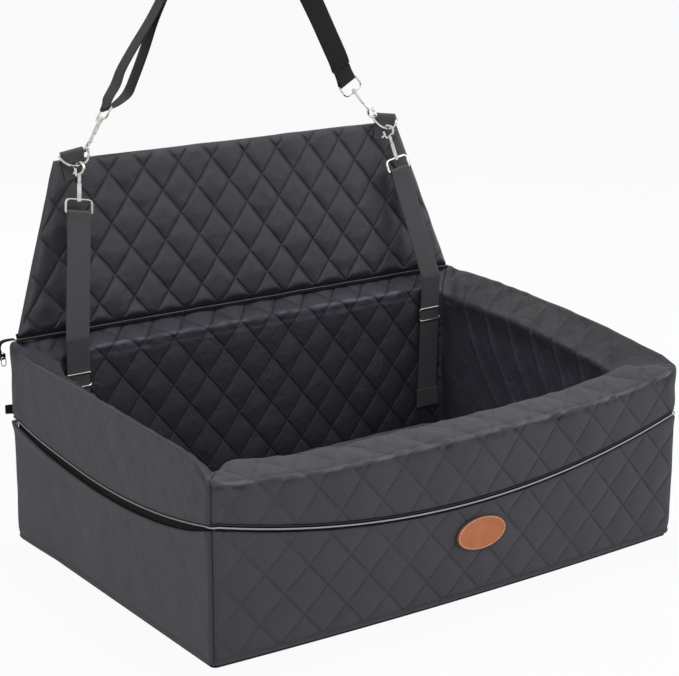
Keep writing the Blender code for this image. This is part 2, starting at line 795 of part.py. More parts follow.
def flap_outline(inset=0.0):
    """The four corners of the flap as (x, z), drawn in by an inset."""
    slope = (FLAP_FOOT_WIDTH - FLAP_TOP_WIDTH) / 2 / FLAP_LENGTH
    side_inset = inset * math.hypot(1, slope)
    low, high = FLAP_FOOT + inset, FLAP_LENGTH - inset
    low_half = FLAP_FOOT_WIDTH / 2 - slope * low - side_inset
    high_half = FLAP_FOOT_WIDTH / 2 - slope * high - side_inset
    return [(-low_half, low), (low_half, low), (high_half, high), (-high_half, high)]


def flap_panel(inset, front, back):
    bm = bmesh.new()
    corners = flap_outline(inset)
    skin(bm, [[Vector((x, y, z)) for x, z in corners] for y in (front, back)])
    return bm


def edge_distance(x, z):
    """How far a place is from the flap's nearest edge."""
    corners = [Vector(corner) for corner in flap_outline()]
    place = Vector((x, z))
    distances = []
    for a, b in zip(corners, corners[1:] + corners[:1]):
        along = (b - a).normalized()
        distances.append(abs(along.x * (place.y - a.y) - along.y * (place.x - a.x)))
    return min(distances)


def diamond_sheet(bm):
    """A flat sheet of diamonds, each cut in three by three, larger than the flap."""
    columns = math.ceil(FLAP_FOOT_WIDTH / DIAMOND_WIDTH) + 2
    rows = math.ceil(FLAP_LENGTH / DIAMOND_HEIGHT) + 1
    right = Vector((DIAMOND_WIDTH / 2, 0, DIAMOND_HEIGHT / 2)) / 3
    left = Vector((-DIAMOND_WIDTH / 2, 0, DIAMOND_HEIGHT / 2)) / 3
    for j in range(-2, 2 * rows):
        for i in range(-columns, columns + 1):
            if (i + j) % 2:
                continue
            foot = Vector((i * DIAMOND_WIDTH / 2, 0, j * DIAMOND_HEIGHT / 2))
            grid = [[bm.verts.new(foot + right * p + left * q) for p in range(4)] for q in range(4)]
            for q in range(3):
                for p in range(3):
                    bm.faces.new((grid[q][p], grid[q][p + 1], grid[q + 1][p + 1], grid[q + 1][p]))
    bmesh.ops.remove_doubles(bm, verts=bm.verts, dist=MERGE_DISTANCE)


def in_diamond(x, z):
    """Whether a place is inside a diamond and not on a line of stitches."""
    up_share = x / DIAMOND_WIDTH + z / DIAMOND_HEIGHT
    down_share = z / DIAMOND_HEIGHT - x / DIAMOND_WIDTH
    return all(abs(share - round(share)) > STITCH_SHARE for share in (up_share, down_share))


def flap_quilt(bm):
    """The quilted front, trimmed to the flap's outline, with a solid edge round it."""
    diamond_sheet(bm)
    corners = [Vector((x, 0, z)) for x, z in flap_outline()]
    for a, b in zip(corners, corners[1:] + corners[:1]):
        normal = Vector((0, 1, 0)).cross(b - a)
        bmesh.ops.bisect_plane(bm, geom=bm.verts[:] + bm.edges[:] + bm.faces[:], plane_co=a,
                               plane_no=normal, dist=MERGE_DISTANCE, clear_outer=True)
    for vert in bm.verts:
        puffed = in_diamond(vert.co.x, vert.co.z) and edge_distance(vert.co.x, vert.co.z) > QUILT_MARGIN
        vert.co.y = FLAP_FRONT if puffed else FLAP_FRONT + QUILT_DEPTH
    rim = [edge for edge in bm.edges if edge.is_boundary]
    side = bmesh.ops.extrude_edge_only(bm, edges=rim)["geom"]
    back = [item for item in side if isinstance(item, bmesh.types.BMVert)]
    for vert in back:
        vert.co.y = FLAP_BACK
    middle = sum((vert.co for vert in back), Vector()) / len(back)
    back.sort(key=lambda vert: math.atan2(vert.co.z - middle.z, vert.co.x - middle.x))
    bm.faces.new(back)


def make_flap(materials, pivot):
    """A stiff board between a quilted front cover, which wraps its edges, and a plain back cover."""
    quilt = bmesh.new()
    flap_quilt(quilt)
    front = add_piece("flap_front_cover", quilt, materials["quilt"], pivot)
    pocket_front = FLAP_FRONT + FLAP_COVER_THICKNESS
    hollow = flap_panel(FLAP_EDGE_WIDTH, pocket_front, FLAP_BACK + CUT_OVERRUN)
    pocket = add_cutter("flap_pocket", hollow, pivot)
    add_boolean(front, pocket, "DIFFERENCE")
    board_front = pocket_front + GAP
    board_back = board_front + FLAP_BOARD_THICKNESS
    inner = FLAP_EDGE_WIDTH + GAP
    board = flap_panel(inner, board_front, board_back)
    add_piece("flap_board", board, materials["board"], pivot, smooth=False)
    back_front = board_back + GAP
    back_cover = flap_panel(inner, back_front, back_front + FLAP_BACK_THICKNESS)
    add_piece("flap_back_cover", back_cover, materials["cover"], pivot, smooth=False)


def make_flap_zip(materials):
    """The coil along the flap's foot, whose left end turns down over the box's corner."""
    start = Vector((FLAP_FOOT_WIDTH / 2, HINGE_Y, HINGE_HEIGHT))
    corner = Vector((-BOX_WIDTH / 2 - FLAP_ZIP_REACH + FLAP_ZIP_BEND, HINGE_Y, HINGE_HEIGHT))
    points = [start.lerp(corner, k / LONG_SIDE_STEPS) for k in range(LONG_SIDE_STEPS + 1)]
    for k in range(1, BEND_STEPS + 1):
        turn = math.pi / 2 * k / BEND_STEPS
        points.append(corner + Vector((-math.sin(turn), 0, math.cos(turn) - 1)) * FLAP_ZIP_BEND)
    points.append(points[-1] - Vector((0, 0, FLAP_ZIP_DROP)))
    bm = bmesh.new()
    skin(bm, tube_loops(points, [FLAP_ZIP_RADIUS] * len(points), Vector((0, 1, 0))))
    add_piece("flap_zip", bm, materials["zip"])
    hang = points[-1] + Vector((0, 0, SLIDER_LENGTH / 2 + FLAP_ZIP_RADIUS))
    upright = Matrix.Translation(hang + Vector((0, FLAP_ZIP_RADIUS, 0)))
    matrix = upright @ Matrix.Rotation(math.pi / 2, 4, "Y")
    depth = 2 * FLAP_ZIP_RADIUS + ZIP_PLAY
    make_slider("flap_zip", matrix, upright, 2 * FLAP_ZIP_RADIUS + 2 * ZIP_PLAY, depth, True, materials)


# Rings and their tabs
RING_RADIUS = RING_WIRE / 2
RING_STANDOFF = FLAP_FRONT - GAP - WEBBING_THICKNESS - GAP - RING_RADIUS
RING_HALF = WEBBING_WIDTH / 2 + RING_SIDE_PLAY + RING_RADIUS


def ring_base_matrix(sign):
    """The frame of a ring's bar, with X along the bar and Z up along the tab."""
    centre = Vector((sign * RING_X, RING_STANDOFF, FLAP_LENGTH + RING_ABOVE_EDGE))
    tilt = Matrix.Rotation(sign * math.radians(RING_TILT_ANGLE), 4, "Y")
    return flap_matrix() @ Matrix.Translation(centre) @ tilt


def ring_matrix(sign):
    """The ring's own frame: it leans out from its bar towards the bed, with its bow down."""
    return ring_base_matrix(sign) @ Matrix.Rotation(-math.radians(RING_LEAN_ANGLE), 4, "X")


def bow_point(turn):
    """A place on the ring's bow, and the wire's direction there; turn 0 is the bow's +X end."""
    place = Vector((RING_HALF * math.cos(turn), 0, -RING_DEPTH * math.sin(turn)))
    along = Vector((-RING_HALF * math.sin(turn), 0, -RING_DEPTH * math.cos(turn))).normalized()
    return place, along


def make_ring(side, sign, materials):
    points = []
    for k in range(RING_STEPS + 1):
        turn = math.pi * k / RING_STEPS
        points.append(bow_point(turn)[0])
    points[0].z = points[-1].z = -RING_BAR_CORNER
    inset = RING_HALF - RING_BAR_CORNER
    for x in (-inset, 0.0, inset):
        points.append(Vector((x, 0, 0)))
    bm = bmesh.new()
    radii = [RING_RADIUS] * len(points)
    skin(bm, tube_loops(points, radii, Vector((0, 1, 0)), closed=True), closed=True)
    pivot = add_empty(side + "_ring_pivot", ring_matrix(sign))
    add_piece(side + "_ring", bm, materials["metal"], pivot)


def make_tab(side, sign, materials):
    """A webbing loop: up the flap's front, back over the ring's bar, and down in front."""
    turn_radius = RING_RADIUS + GAP + WEBBING_THICKNESS / 2
    front_foot = -WEBBING_THICKNESS / 2 - GAP / 2
    middle = sign * TAB_SHIFT
    points = [Vector((0, turn_radius, -TAB_FOOT_LENGTH)), Vector((0, turn_radius, -turn_radius))]
    for k in range(BEND_STEPS * 2 + 1):
        turn = math.pi * k / (BEND_STEPS * 2)
        points.append(Vector((0, math.cos(turn), math.sin(turn))) * turn_radius)
    points.append(Vector((0, -turn_radius, -turn_radius)))
    points.append(Vector((0, turn_radius + 2 * front_foot - GAP, -TAB_FRONT_LENGTH)))
    points.append(Vector((0, turn_radius + 2 * front_foot - GAP, -TAB_FRONT_LENGTH - turn_radius)))
    for point in points:
        point.x = middle
    widths = [Vector((1, 0, 0))] * len(points)
    bm = bmesh.new()
    skin(bm, strap_loops(points, widths))
    base = add_empty(side + "_tab_frame", ring_base_matrix(sign))
    add_piece(side + "_ring_tab", bm, materials["webbing"], base)


# Snap hooks. In a hook's own frame Z runs from the eye to the claw, the claw lies in the XZ plane,
# the gate is on the -X side, and the eye's near bar is at the origin.

CLAW_CENTRE = HOOK_STEM_LENGTH + HOOK_CLAW_RADIUS
SEAT_HEIGHT = CLAW_CENTRE + HOOK_CLAW_RADIUS - HOOK_WIRE_RADIUS - RING_RADIUS - HOOK_SEAT_PLAY
EYE_HALF = WEBBING_WIDTH / 2 + EYE_SIDE_PLAY + EYE_WIRE_RADIUS
GATE_PIVOT = Vector((-HOOK_STEM_RADIUS - GATE_WIDTH / 2 - 2 * GAP, 0, HOOK_STEM_LENGTH - HOOK_STEM_RADIUS))


def hook_matrix(seat, to_eye, wire, spin):
    """Places a hook by the ring wire in its claw and by the way to its eye."""
    up = -to_eye.normalized()
    across = square_to(wire, up)
    turn = Matrix.Rotation(math.radians(spin), 3, up)
    y_axis = turn @ across
    x_axis = y_axis.cross(up)
    rotation = Matrix((x_axis, y_axis, up)).transposed().to_4x4()
    return Matrix.Translation(seat - up * SEAT_HEIGHT) @ rotation


def eye_matrix(hook, width_direction):
    """The eye stands on the hook's axis, with its bars along a chosen direction."""
    up = hook.to_3x3().col[2]
    x_axis = square_to(width_direction, up)
    y_axis = up.cross(x_axis)
    rotation = Matrix((x_axis, y_axis, up)).transposed().to_4x4()
    return Matrix.Translation(hook.translation) @ rotation


def hook_mesh():
    """A swivel stem with its rivet head, which runs on into the round claw."""
    boss = BOSS_HEIGHT / 2
    head_top = -boss - GAP
    shoulder = boss + GAP
    profile = [(head_top - HOOK_HEAD_THICKNESS, HOOK_HEAD_RADIUS * HOOK_HEAD_ROUNDING_SHARE),
               (head_top - HOOK_HEAD_THICKNESS / 2, HOOK_HEAD_RADIUS), (head_top, HOOK_HEAD_RADIUS),
               (head_top + GAP / 10, HOOK_PIN_RADIUS),
               (shoulder - GAP / 10, HOOK_PIN_RADIUS), (shoulder, HOOK_BARREL_RADIUS),
               (HOOK_BARREL_LENGTH, HOOK_BARREL_RADIUS),
               (HOOK_BARREL_LENGTH + HOOK_BARREL_RADIUS - HOOK_STEM_RADIUS, HOOK_STEM_RADIUS),
               (HOOK_STEM_LENGTH - 2 * HOOK_STEM_RADIUS, HOOK_STEM_RADIUS)]
    points = [Vector((0, 0, z)) for z, _ in profile]
    radii = [radius for _, radius in profile]
    for k in range(CLAW_STEPS + 1):
        turn = math.radians(HOOK_CLAW_SWEEP_ANGLE * k / CLAW_STEPS - 90)
        spoke = Vector((math.cos(turn), 0, math.sin(turn))) * HOOK_CLAW_RADIUS
        points.append(spoke + Vector((0, 0, CLAW_CENTRE)))
        radii.append(mix(HOOK_STEM_RADIUS, HOOK_WIRE_RADIUS, min(1, 3 * k / CLAW_STEPS)))
    radii[-1] = HOOK_WIRE_RADIUS * HOOK_TIP_SHARE
    bm = bmesh.new()
    skin(bm, tube_loops(points, radii, Vector((0, 1, 0))))
    return bm


def gate_mesh():
    """A flat sprung lever that closes the claw, with a thumb tab low on its outer side.

    Its pivot is at the origin."""
    end = math.radians(HOOK_CLAW_SWEEP_ANGLE - 90)
    nose = Vector((math.cos(end), math.sin(end))) * HOOK_CLAW_RADIUS + Vector((0, CLAW_CENTRE))
    foot = Vector((GATE_PIVOT.x, GATE_PIVOT.z))
    half = GATE_WIDTH / 2
    tip = nose - foot - Vector((0, HOOK_WIRE_RADIUS + GAP))
    knee = Vector((mix(0, tip.x, 0.75), mix(0, tip.y, 0.4)))
    thumb = knee + Vector((-GATE_THUMB_LENGTH, -half))
    outline = [Vector((half, -half)), Vector((half, half)), knee + Vector((half, 0)),
               tip + Vector((half, 0)), tip + Vector((-half, 0)), knee + Vector((-half, half)),
               thumb + Vector((0, half)), thumb + Vector((-half, -half)),
               thumb + Vector((half, -GATE_WIDTH)), knee + Vector((-half, -half)),
               Vector((-half, -half))]
    bm = bmesh.new()
    skin(bm, [[Vector((p.x, y, p.y)) for p in outline] for y in (-GATE_DEPTH / 2, GATE_DEPTH / 2)])
    return bm


def eye_loop_mesh():
    """The wire loop of the eye, with its near bar at the origin and its far bar below."""
    near, far = EYE_NEAR_CORNER_RADIUS, EYE_FAR_CORNER_RADIUS
    corners = []
    for side, start, radius, height in ((1, 90, near, -near), (1, 0, far, far - EYE_DEPTH),
                                        (-1, -90, far, far - EYE_DEPTH), (-1, -180, near, -near)):
        centre = Vector((side * (EYE_HALF - radius), 0, height))
        for k in range(BEND_STEPS):
            turn = math.radians(start - 90 * k / (BEND_STEPS - 1))
            corners.append(centre + Vector((math.cos(turn), 0, math.sin(turn))) * radius)
    bm = bmesh.new()
    radii = [EYE_WIRE_RADIUS] * len(corners)
    skin(bm, tube_loops(corners, radii, Vector((0, 1, 0)), closed=True, sides=6), closed=True)
    return bm


def cylinder_mesh(radius, low, high, sides=12):
    bm = bmesh.new()
    loops = []
    for z in (low, high):
        turns = [math.tau * k / sides for k in range(sides)]
        loops.append([Vector((radius * math.cos(t), radius * math.sin(t), z)) for t in turns])
    skin(bm, loops)
    return bm


def make_hook(name, hook, eye, materials):
    """One snap hook: the hook and its gate turn in the eye's boss."""
    swivel = add_empty(name + "_swivel", hook)
    add_piece(name + "_hook", hook_mesh(), materials["metal"], swivel)
    gate_pivot = add_empty(name + "_gate_pivot", hook @ Matrix.Translation(GATE_PIVOT))
    add_piece(name + "_gate", gate_mesh(), materials["metal"], gate_pivot)
    eye_frame = add_empty(name + "_eye_frame", eye)
    body = add_piece(name + "_eye", eye_loop_mesh(), materials["metal"], eye_frame)
    half = BOSS_HEIGHT / 2
    boss = cylinder_mesh(BOSS_RADIUS, -half, half)
    add_boolean(body, add_cutter(name + "_boss", boss, eye_frame), "UNION")
    hole = cylinder_mesh(HOOK_PIN_RADIUS + HOOK_PIN_PLAY, -half - CUT_OVERRUN, half + CUT_OVERRUN)
    add_boolean(body, add_cutter(name + "_hole", hole, eye_frame), "DIFFERENCE")


# Straps

PLY_OFFSET = EYE_WIRE_RADIUS + GAP + WEBBING_THICKNESS / 2
JOINED_OFFSET = (WEBBING_THICKNESS + GAP) / 2


def bar_loop(eye, away, length_before, length_after, spread_after=JOINED_OFFSET):
    """Points of webbing that comes down behind an eye's far bar, goes round it and up in front.

    Away points from the bar along the strap; the front is the side of the eye's -Y.
    """
    bar = eye @ Vector((0, 0, -EYE_DEPTH))
    bar_axis = eye.to_3x3().col[0]
    away = square_to(away, bar_axis)
    front = away.cross(bar_axis).normalized()
    if front.dot(eye.to_3x3().col[1]) > 0:
        front = -front
    points = []
    if length_before > LOOP_MERGE_LENGTH:
        points.append(bar + away * length_before - front * JOINED_OFFSET)
        points.append(bar + away * LOOP_MERGE_LENGTH - front * JOINED_OFFSET)
    for k in range(BEND_STEPS * 2 + 1):
        turn = math.pi * k / (BEND_STEPS * 2)
        points.append(bar - (front * math.cos(turn) + away * math.sin(turn)) * PLY_OFFSET)
    if length_after > LOOP_MERGE_LENGTH:
        points.append(bar + away * LOOP_MERGE_LENGTH + front * spread_after)
        points.append(bar + away * length_after + front * spread_after)
    return points


def tether_places(sign):
    """Where a tether strap bends at the wall's top edge, lands on the wall and ends."""
    wall = BOX_DEPTH / 2 - WALL_THICKNESS
    on_wall = wall - GAP - WEBBING_THICKNESS / 2
    edge = Vector((sign * TETHER_X, wall - TETHER_EDGE_CLEARANCE, BACK_HEIGHT + TETHER_EDGE_RISE))
    landing = Vector((sign * TETHER_X, on_wall, TETHER_LANDING_HEIGHT))
    foot = Vector((sign * TETHER_X, on_wall, TETHER_FOOT_HEIGHT))
    return edge, landing, foot


def adjuster_mesh(stack):
    """A three-bar slide: two bars in front of the webbing, one behind, joined by side rails.

    X runs across the webbing, Z along it, and -Y is its front. Stack is the webbing's thickness.
    """
    inner = WEBBING_WIDTH / 2 + ADJUSTER_SIDE_PLAY
    outer = inner + ADJUSTER_RAIL
    near = stack / 2 + GAP
    far = near + ADJUSTER_BAR_DEPTH
    half = ADJUSTER_LENGTH / 2
    rails = [box_mesh((inner, -far, -half), (outer, far, half)),
             box_mesh((-outer, -far, -half), (-inner, far, half))]
    lap = ADJUSTER_RAIL / 2
    bars = [box_mesh((-inner - lap, -far + ADJUSTER_CORNER, low), (inner + lap, -near, low + ADJUSTER_BAR))
            for low in (ADJUSTER_CORNER - half, half - ADJUSTER_BAR - ADJUSTER_CORNER)]
    middle = ADJUSTER_BAR / 2
    bars.append(box_mesh((-inner - lap, near, -middle), (inner + lap, far - ADJUSTER_CORNER, middle)))
    return rails, bars


def make_adjuster(name, matrix, stack, materials):
    frame = add_empty(name + "_frame", matrix)
    rails, bars = adjuster_mesh(stack)
    body = add_piece(name, rails[0], materials["metal"], frame, smooth=False)
    for i, block in enumerate(bars + rails[1:]):
        add_boolean(body, add_cutter(f"{name}_block_{i}", block, frame), "UNION", "MANIFOLD")


def frame_along(origin, along, across):
    """A frame with Z along a strap and X across it."""
    z_axis = along.normalized()
    x_axis = square_to(across, z_axis)
    y_axis = z_axis.cross(x_axis)
    return Matrix.Translation(origin) @ Matrix((x_axis, y_axis, z_axis)).transposed().to_4x4()


def make_tether(side, sign, spin, materials):
    """A tether: hook on the ring's bow, webbing over the wall's edge, adjuster and sewn anchor."""
    ring = ring_matrix(sign)
    place, along = bow_point(math.pi / 2)
    seat = ring @ place
    wire = ring.to_3x3() @ along
    edge, landing, foot = tether_places(sign)
    hook = hook_matrix(seat, edge - seat, wire * -1, spin)
    eye = eye_matrix(hook, Vector((1, 0, 0)))
    make_hook(side + "_tether", hook, eye, materials)
    bar = eye @ Vector((0, 0, -EYE_DEPTH))
    away = edge - bar
    loop = bar_loop(eye, away, TETHER_SEAM_LENGTH, TETHER_SEAM_LENGTH)
    points = loop + [edge, landing, foot]
    widths = [eye.to_3x3().col[0]] * len(loop) + [Vector((1, 0, 0))] * 3
    bm = bmesh.new()
    skin(bm, strap_loops(points, widths))
    add_piece(side + "_tether_strap", bm, materials["webbing"])
    run = (edge - landing).normalized()
    share = (edge.z - TETHER_ADJUSTER_HEIGHT) / (edge.z - landing.z)
    make_adjuster(side + "_tether_adjuster", frame_along(edge.lerp(landing, share), run, Vector((1, 0, 0))),
                  WEBBING_THICKNESS, materials)
    front_face = foot.y - WEBBING_THICKNESS / 2 - GAP
    low = Vector((foot.x - ANCHOR_WIDTH / 2, front_face - WEBBING_THICKNESS, foot.z - GAP * 10))
    high = Vector((foot.x + ANCHOR_WIDTH / 2, front_face, foot.z + ANCHOR_HEIGHT))
    add_piece(side + "_tether_anchor", box_mesh(low, high), materials["webbing"], smooth=False)


def twisted_widths(points, turns):
    """The webbing's width at each point, turned about the strap's own line from the XZ plane."""
    widths = []
    depth = Vector((0, 1, 0))
    for along, turn in zip(directions(points), turns):
        level = depth.cross(along).normalized()
        widths.append(level * math.cos(math.radians(turn)) + depth * math.sin(math.radians(turn)))
    return widths


def spread_turns(turns, steps):
    """Turns for the points that smooth_line puts between the given ones."""
    result = []
    for a, b in zip(turns, turns[1:]):
        result += [mix(a, b, k / steps) for k in range(steps)]
    return result + [turns[-1]]


def make_headrest_hook(side, sign, aim, width, spin, materials):
    """A hook on the free inner end of a ring's bar, which points to the strap's end."""
    ring = ring_matrix(sign)
    free_end = RING_HALF - RING_BAR_CORNER + HOOK_SIDE_PLAY
    aim = Vector(aim).normalized()
    seat = ring @ Vector((-sign * free_end, 0, 0)) - aim * HOOK_SLANT_PLAY
    wire = ring.to_3x3().col[0]
    hook = hook_matrix(seat, aim, wire, spin)
    eye = eye_matrix(hook, width)
    make_hook(side + "_headrest", hook, eye, materials)
    return eye


def steady_widths(points, turn):
    """The webbing's width along a line that keeps one turn from the XZ plane."""
    return twisted_widths(points, [turn] * len(points))


def make_headrest_strap(materials):
    """One strap: sewn round the right eye, up round the headrest, and doubled through the left eye."""
    right_eye = make_headrest_hook("right", 1, RIGHT_EYE_AIM, Vector((1, 0, 0)),
                                   RIGHT_HEADREST_SPIN_ANGLE, materials)
    left_eye = make_headrest_hook("left", -1, LEFT_EYE_AIM, Vector(LEFT_EYE_WIDTH_WAY),
                                  LEFT_HEADREST_SPIN_ANGLE, materials)
    route = [Vector(place) for place in HEADREST_ROUTE]
    right_bar = right_eye @ Vector((0, 0, -EYE_DEPTH))
    left_bar = left_eye @ Vector((0, 0, -EYE_DEPTH))
    start = bar_loop(right_eye, route[0] - right_bar, RIGHT_SEAM_LENGTH, RIGHT_SEAM_LENGTH)

    bar_axis = left_eye.to_3x3().col[0]
    doubled = [Vector(ADJUSTER_PLACE)] + [Vector(place) for place in DOUBLED_ROUTE]
    away = square_to(doubled[-1] - left_bar, bar_axis)
    doubled.append(left_bar + away * EYE_LEAD)
    spreads = (JOINED_OFFSET,) + DOUBLED_SPREADS
    centres = doubled + [left_bar]
    down = directions(centres)[:-1]
    down[0] = (doubled[1] - doubled[0]).normalized()
    across = steady_widths(centres, DOUBLED_TURN_ANGLE)[:-1]
    sideways = [along.cross(width).normalized() for along, width in zip(down, across)]
    sideways[-1] = square_to(square_to(sideways[-1], away), bar_axis)
    main = [place - side * spread for place, side, spread in zip(doubled, sideways, spreads)]
    back = [place + side * spread for place, side, spread in zip(doubled, sideways, spreads)]
    lead = main[0] - down[0] * ADJUSTER_LEAD
    tail = back[0] - down[0] * TAIL_LENGTH

    arc = []
    for k in range(BEND_STEPS * 2 + 1):
        turn = math.pi * k / (BEND_STEPS * 2)
        arc.append(left_bar - (sideways[-1] * math.cos(turn) + away * math.sin(turn)) * PLY_OFFSET)

    steps = 2
    upper = smooth_line([start[-1]] + route + [lead], steps)
    upper_turns = spread_turns((0.0,) + HEADREST_TURNS + (DOUBLED_TURN_ANGLE,), steps)
    down_line = smooth_line(main + [arc[0]], steps)[:-1]
    up_line = smooth_line([arc[-1]] + back[::-1], steps)[1:] + [tail]
    descent = start[:-1] + upper + down_line
    turns = [0.0] * (len(start) - 1) + upper_turns + [DOUBLED_TURN_ANGLE] * len(down_line)
    widths = twisted_widths(descent + arc[:1], turns + [DOUBLED_TURN_ANGLE])[:-1]
    widths[:len(start)] = [right_eye.to_3x3().col[0]] * len(start)
    if bar_axis.dot(widths[-1]) < 0:
        bar_axis = -bar_axis
    widths[-1] = bar_axis
    widths[-2] = bar_axis
    widths += [bar_axis] * len(arc)
    rising = steady_widths((arc[-1:] + up_line)[::-1], DOUBLED_TURN_ANGLE)[::-1][1:]
    rising[:2] = [bar_axis] * 2
    widths += rising
    bm = bmesh.new()
    skin(bm, strap_loops(descent + arc + up_line, widths))
    add_piece("headrest_strap", bm, materials["webbing"])
    frame = frame_along(doubled[0], down[0], across[0])
    make_adjuster("headrest_adjuster", frame, 2 * WEBBING_THICKNESS + GAP, materials)


def make_badge(materials):
    """An oval leather patch with a slightly rounded edge, on the front of the lower cover."""
    half_run = BOX_WIDTH / 2 - OUTER_CORNER_RADIUS
    nearest = BADGE_X - BADGE_WIDTH / 2
    bow = 1 - (nearest / half_run) ** 2
    back = -BOX_DEPTH / 2 - FRONT_BULGE * bow - GAP
    sections = ((0.0, 0.0), (BADGE_THICKNESS - BADGE_EDGE, 0.0), (BADGE_THICKNESS, BADGE_EDGE))
    loops = []
    for depth, inset in sections:
        turns = [math.tau * k / BADGE_STEPS for k in range(BADGE_STEPS)]
        loops.append([Vector((BADGE_X + (BADGE_WIDTH / 2 - inset) * math.cos(t), back - depth,
                              BADGE_Z + (BADGE_HEIGHT / 2 - inset) * math.sin(t))) for t in turns])
    bm = bmesh.new()
    skin(bm, loops)
    add_piece("badge", bm, materials["leather"])


def make_part():
    clear_scene()
    materials = make_materials()
    make_floor(materials)
    make_lower_cover(materials)
    make_foam_walls(materials)
    make_upper_cover(materials)
    make_mattress(materials)
    make_side_zip(materials)
    make_side_slider(materials)
    make_badge(materials)
    pivot = add_empty("flap_pivot", flap_matrix())
    make_flap(materials, pivot)
    make_flap_zip(materials)
    for side, sign, spin in (("left", -1, LEFT_TETHER_SPIN_ANGLE), ("right", 1, RIGHT_TETHER_SPIN_ANGLE)):
        make_ring(side, sign, materials)
        make_tab(side, sign, materials)
        make_tether(side, sign, spin, materials)
    make_headrest_strap(materials)


make_part()
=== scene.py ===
"""The dressed model of a padded booster bed for a dog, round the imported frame.

Metres. +X runs to the right along the front, +Y to the back, where the flap stands, and +Z up.
"""
import json
import math
from itertools import accumulate

import bpy
import numpy as np
from mathutils import Matrix, Vector


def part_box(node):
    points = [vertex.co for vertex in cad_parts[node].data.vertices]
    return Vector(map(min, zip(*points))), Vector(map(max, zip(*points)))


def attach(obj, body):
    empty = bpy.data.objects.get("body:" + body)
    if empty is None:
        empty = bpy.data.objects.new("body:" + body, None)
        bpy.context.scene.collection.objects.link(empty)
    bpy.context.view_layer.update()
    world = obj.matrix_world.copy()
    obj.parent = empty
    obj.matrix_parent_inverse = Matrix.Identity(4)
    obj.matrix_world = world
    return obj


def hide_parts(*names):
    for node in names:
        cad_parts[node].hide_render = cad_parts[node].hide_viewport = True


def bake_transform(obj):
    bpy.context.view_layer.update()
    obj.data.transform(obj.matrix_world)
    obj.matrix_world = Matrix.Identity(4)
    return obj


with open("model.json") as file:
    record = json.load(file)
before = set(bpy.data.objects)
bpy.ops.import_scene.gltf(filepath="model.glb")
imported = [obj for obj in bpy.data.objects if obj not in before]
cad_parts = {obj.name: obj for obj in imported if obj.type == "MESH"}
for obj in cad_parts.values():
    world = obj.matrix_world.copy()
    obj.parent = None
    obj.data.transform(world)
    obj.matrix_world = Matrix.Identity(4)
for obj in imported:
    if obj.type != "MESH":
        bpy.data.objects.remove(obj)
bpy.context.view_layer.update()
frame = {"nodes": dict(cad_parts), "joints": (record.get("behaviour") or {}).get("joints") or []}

# Camera, solved from the corners of the box and of the flap in a frame of 679 by 676
CAMERA_PLACE = (-1.56594, -2.21286, 1.09133)
CAMERA_TURN_ANGLE = -35.07
CAMERA_DOWN_ANGLE = 15.97
CAMERA_LENS = 100.706

WORLD_LIGHT = 0.33
LAMPS = (
    ("key", (-0.9, -1.7, 2.5), 0.9, 17.0),
    ("fill", (1.9, -1.5, 1.6), 1.6, 10.0),
    ("top", (0.3, 0.5, 2.6), 0.9, 22.0),
    ("back", (0.6, 2.4, 1.4), 1.6, 10.0),
)
FLOOR_REACH = 16.0
FLOOR_HEIGHT = -0.0004

# Sizes that the CAD model uses too
BOX_WIDTH = 0.820
BOX_DEPTH = 0.560
WALL = 0.050
OUTER_RADIUS = 0.012
INNER_RADIUS = 0.006
FRONT_BULGE = 0.011
FRONT_LEFT_HEIGHT = 0.267
FRONT_RIGHT_HEIGHT = 0.276
BACK_HEIGHT = 0.3135
LEFT_REAR_HEIGHT = 0.2985
LEFT_FORE_HEIGHT = 0.283
CORNER_RISE_POWER = 24
FRONT_RIM_SAG = 0.021
RIGHT_RIM_RISE = 0.012
ZIP_END_HEIGHT = 0.196
ZIP_FRONT_SAG = 0.052
ZIP_SIDE_SAG = 0.030
ZIP_HALF_CHORD = BOX_DEPTH / 2 - OUTER_RADIUS
ZIP_RADIUS = (ZIP_HALF_CHORD ** 2 + ZIP_SIDE_SAG ** 2) / (2 * ZIP_SIDE_SAG)
ZIP_CENTRE = ZIP_END_HEIGHT - ZIP_SIDE_SAG + ZIP_RADIUS
BOTTOM = 0.0018
WALL_FOOT = 0.0084

FLAP_FOOT_HALF = 0.405
FLAP_SLOPE = (0.405 - 0.316) / 0.256
FLAP_LOW = 0.0028
FLAP_HIGH = 0.256
FLAP_FRONT = -0.0015
FLAP_MIDDLE = 0.0045
FLAP_BACK = 0.0105
HINGE_Y = 0.270
HINGE_HEIGHT = 0.3163
FLAP_LEAN_ANGLE = 7.3

WEBBING_WIDTH = 0.038
WEBBING_THICKNESS = 0.0016
GAP = 0.0003
RING_X = 0.287
RING_RADIUS = 0.002
RING_LIFT = 0.0105
RING_TILT_ANGLE = 8.0
RING_STANDOFF = FLAP_FRONT - 2 * GAP - WEBBING_THICKNESS - RING_RADIUS
EYE_DEPTH = 0.020
EYE_RADIUS = 0.0018
PLY = EYE_RADIUS + GAP + WEBBING_THICKNESS / 2
JOINED = (WEBBING_THICKNESS + GAP) / 2

RIGHT = Vector((1, 0, 0))
BACKWARD = Vector((0, 1, 0))
UP = Vector((0, 0, 1))


# Small tools


def mix(a, b, share):
    return a + (b - a) * share


def smooth(value):
    value = np.clip(value, 0, 1)
    return value * value * (3 - 2 * value)


def hump(distance, breadth):
    """1 at no distance, and nearly 0 beyond two breadths."""
    return np.exp(-((distance / breadth) ** 2))


def stacked(*parts):
    """Coordinates side by side in a last axis; each may be a number, a row, a column or a grid."""
    return np.stack(np.broadcast_arrays(*parts), axis=-1)


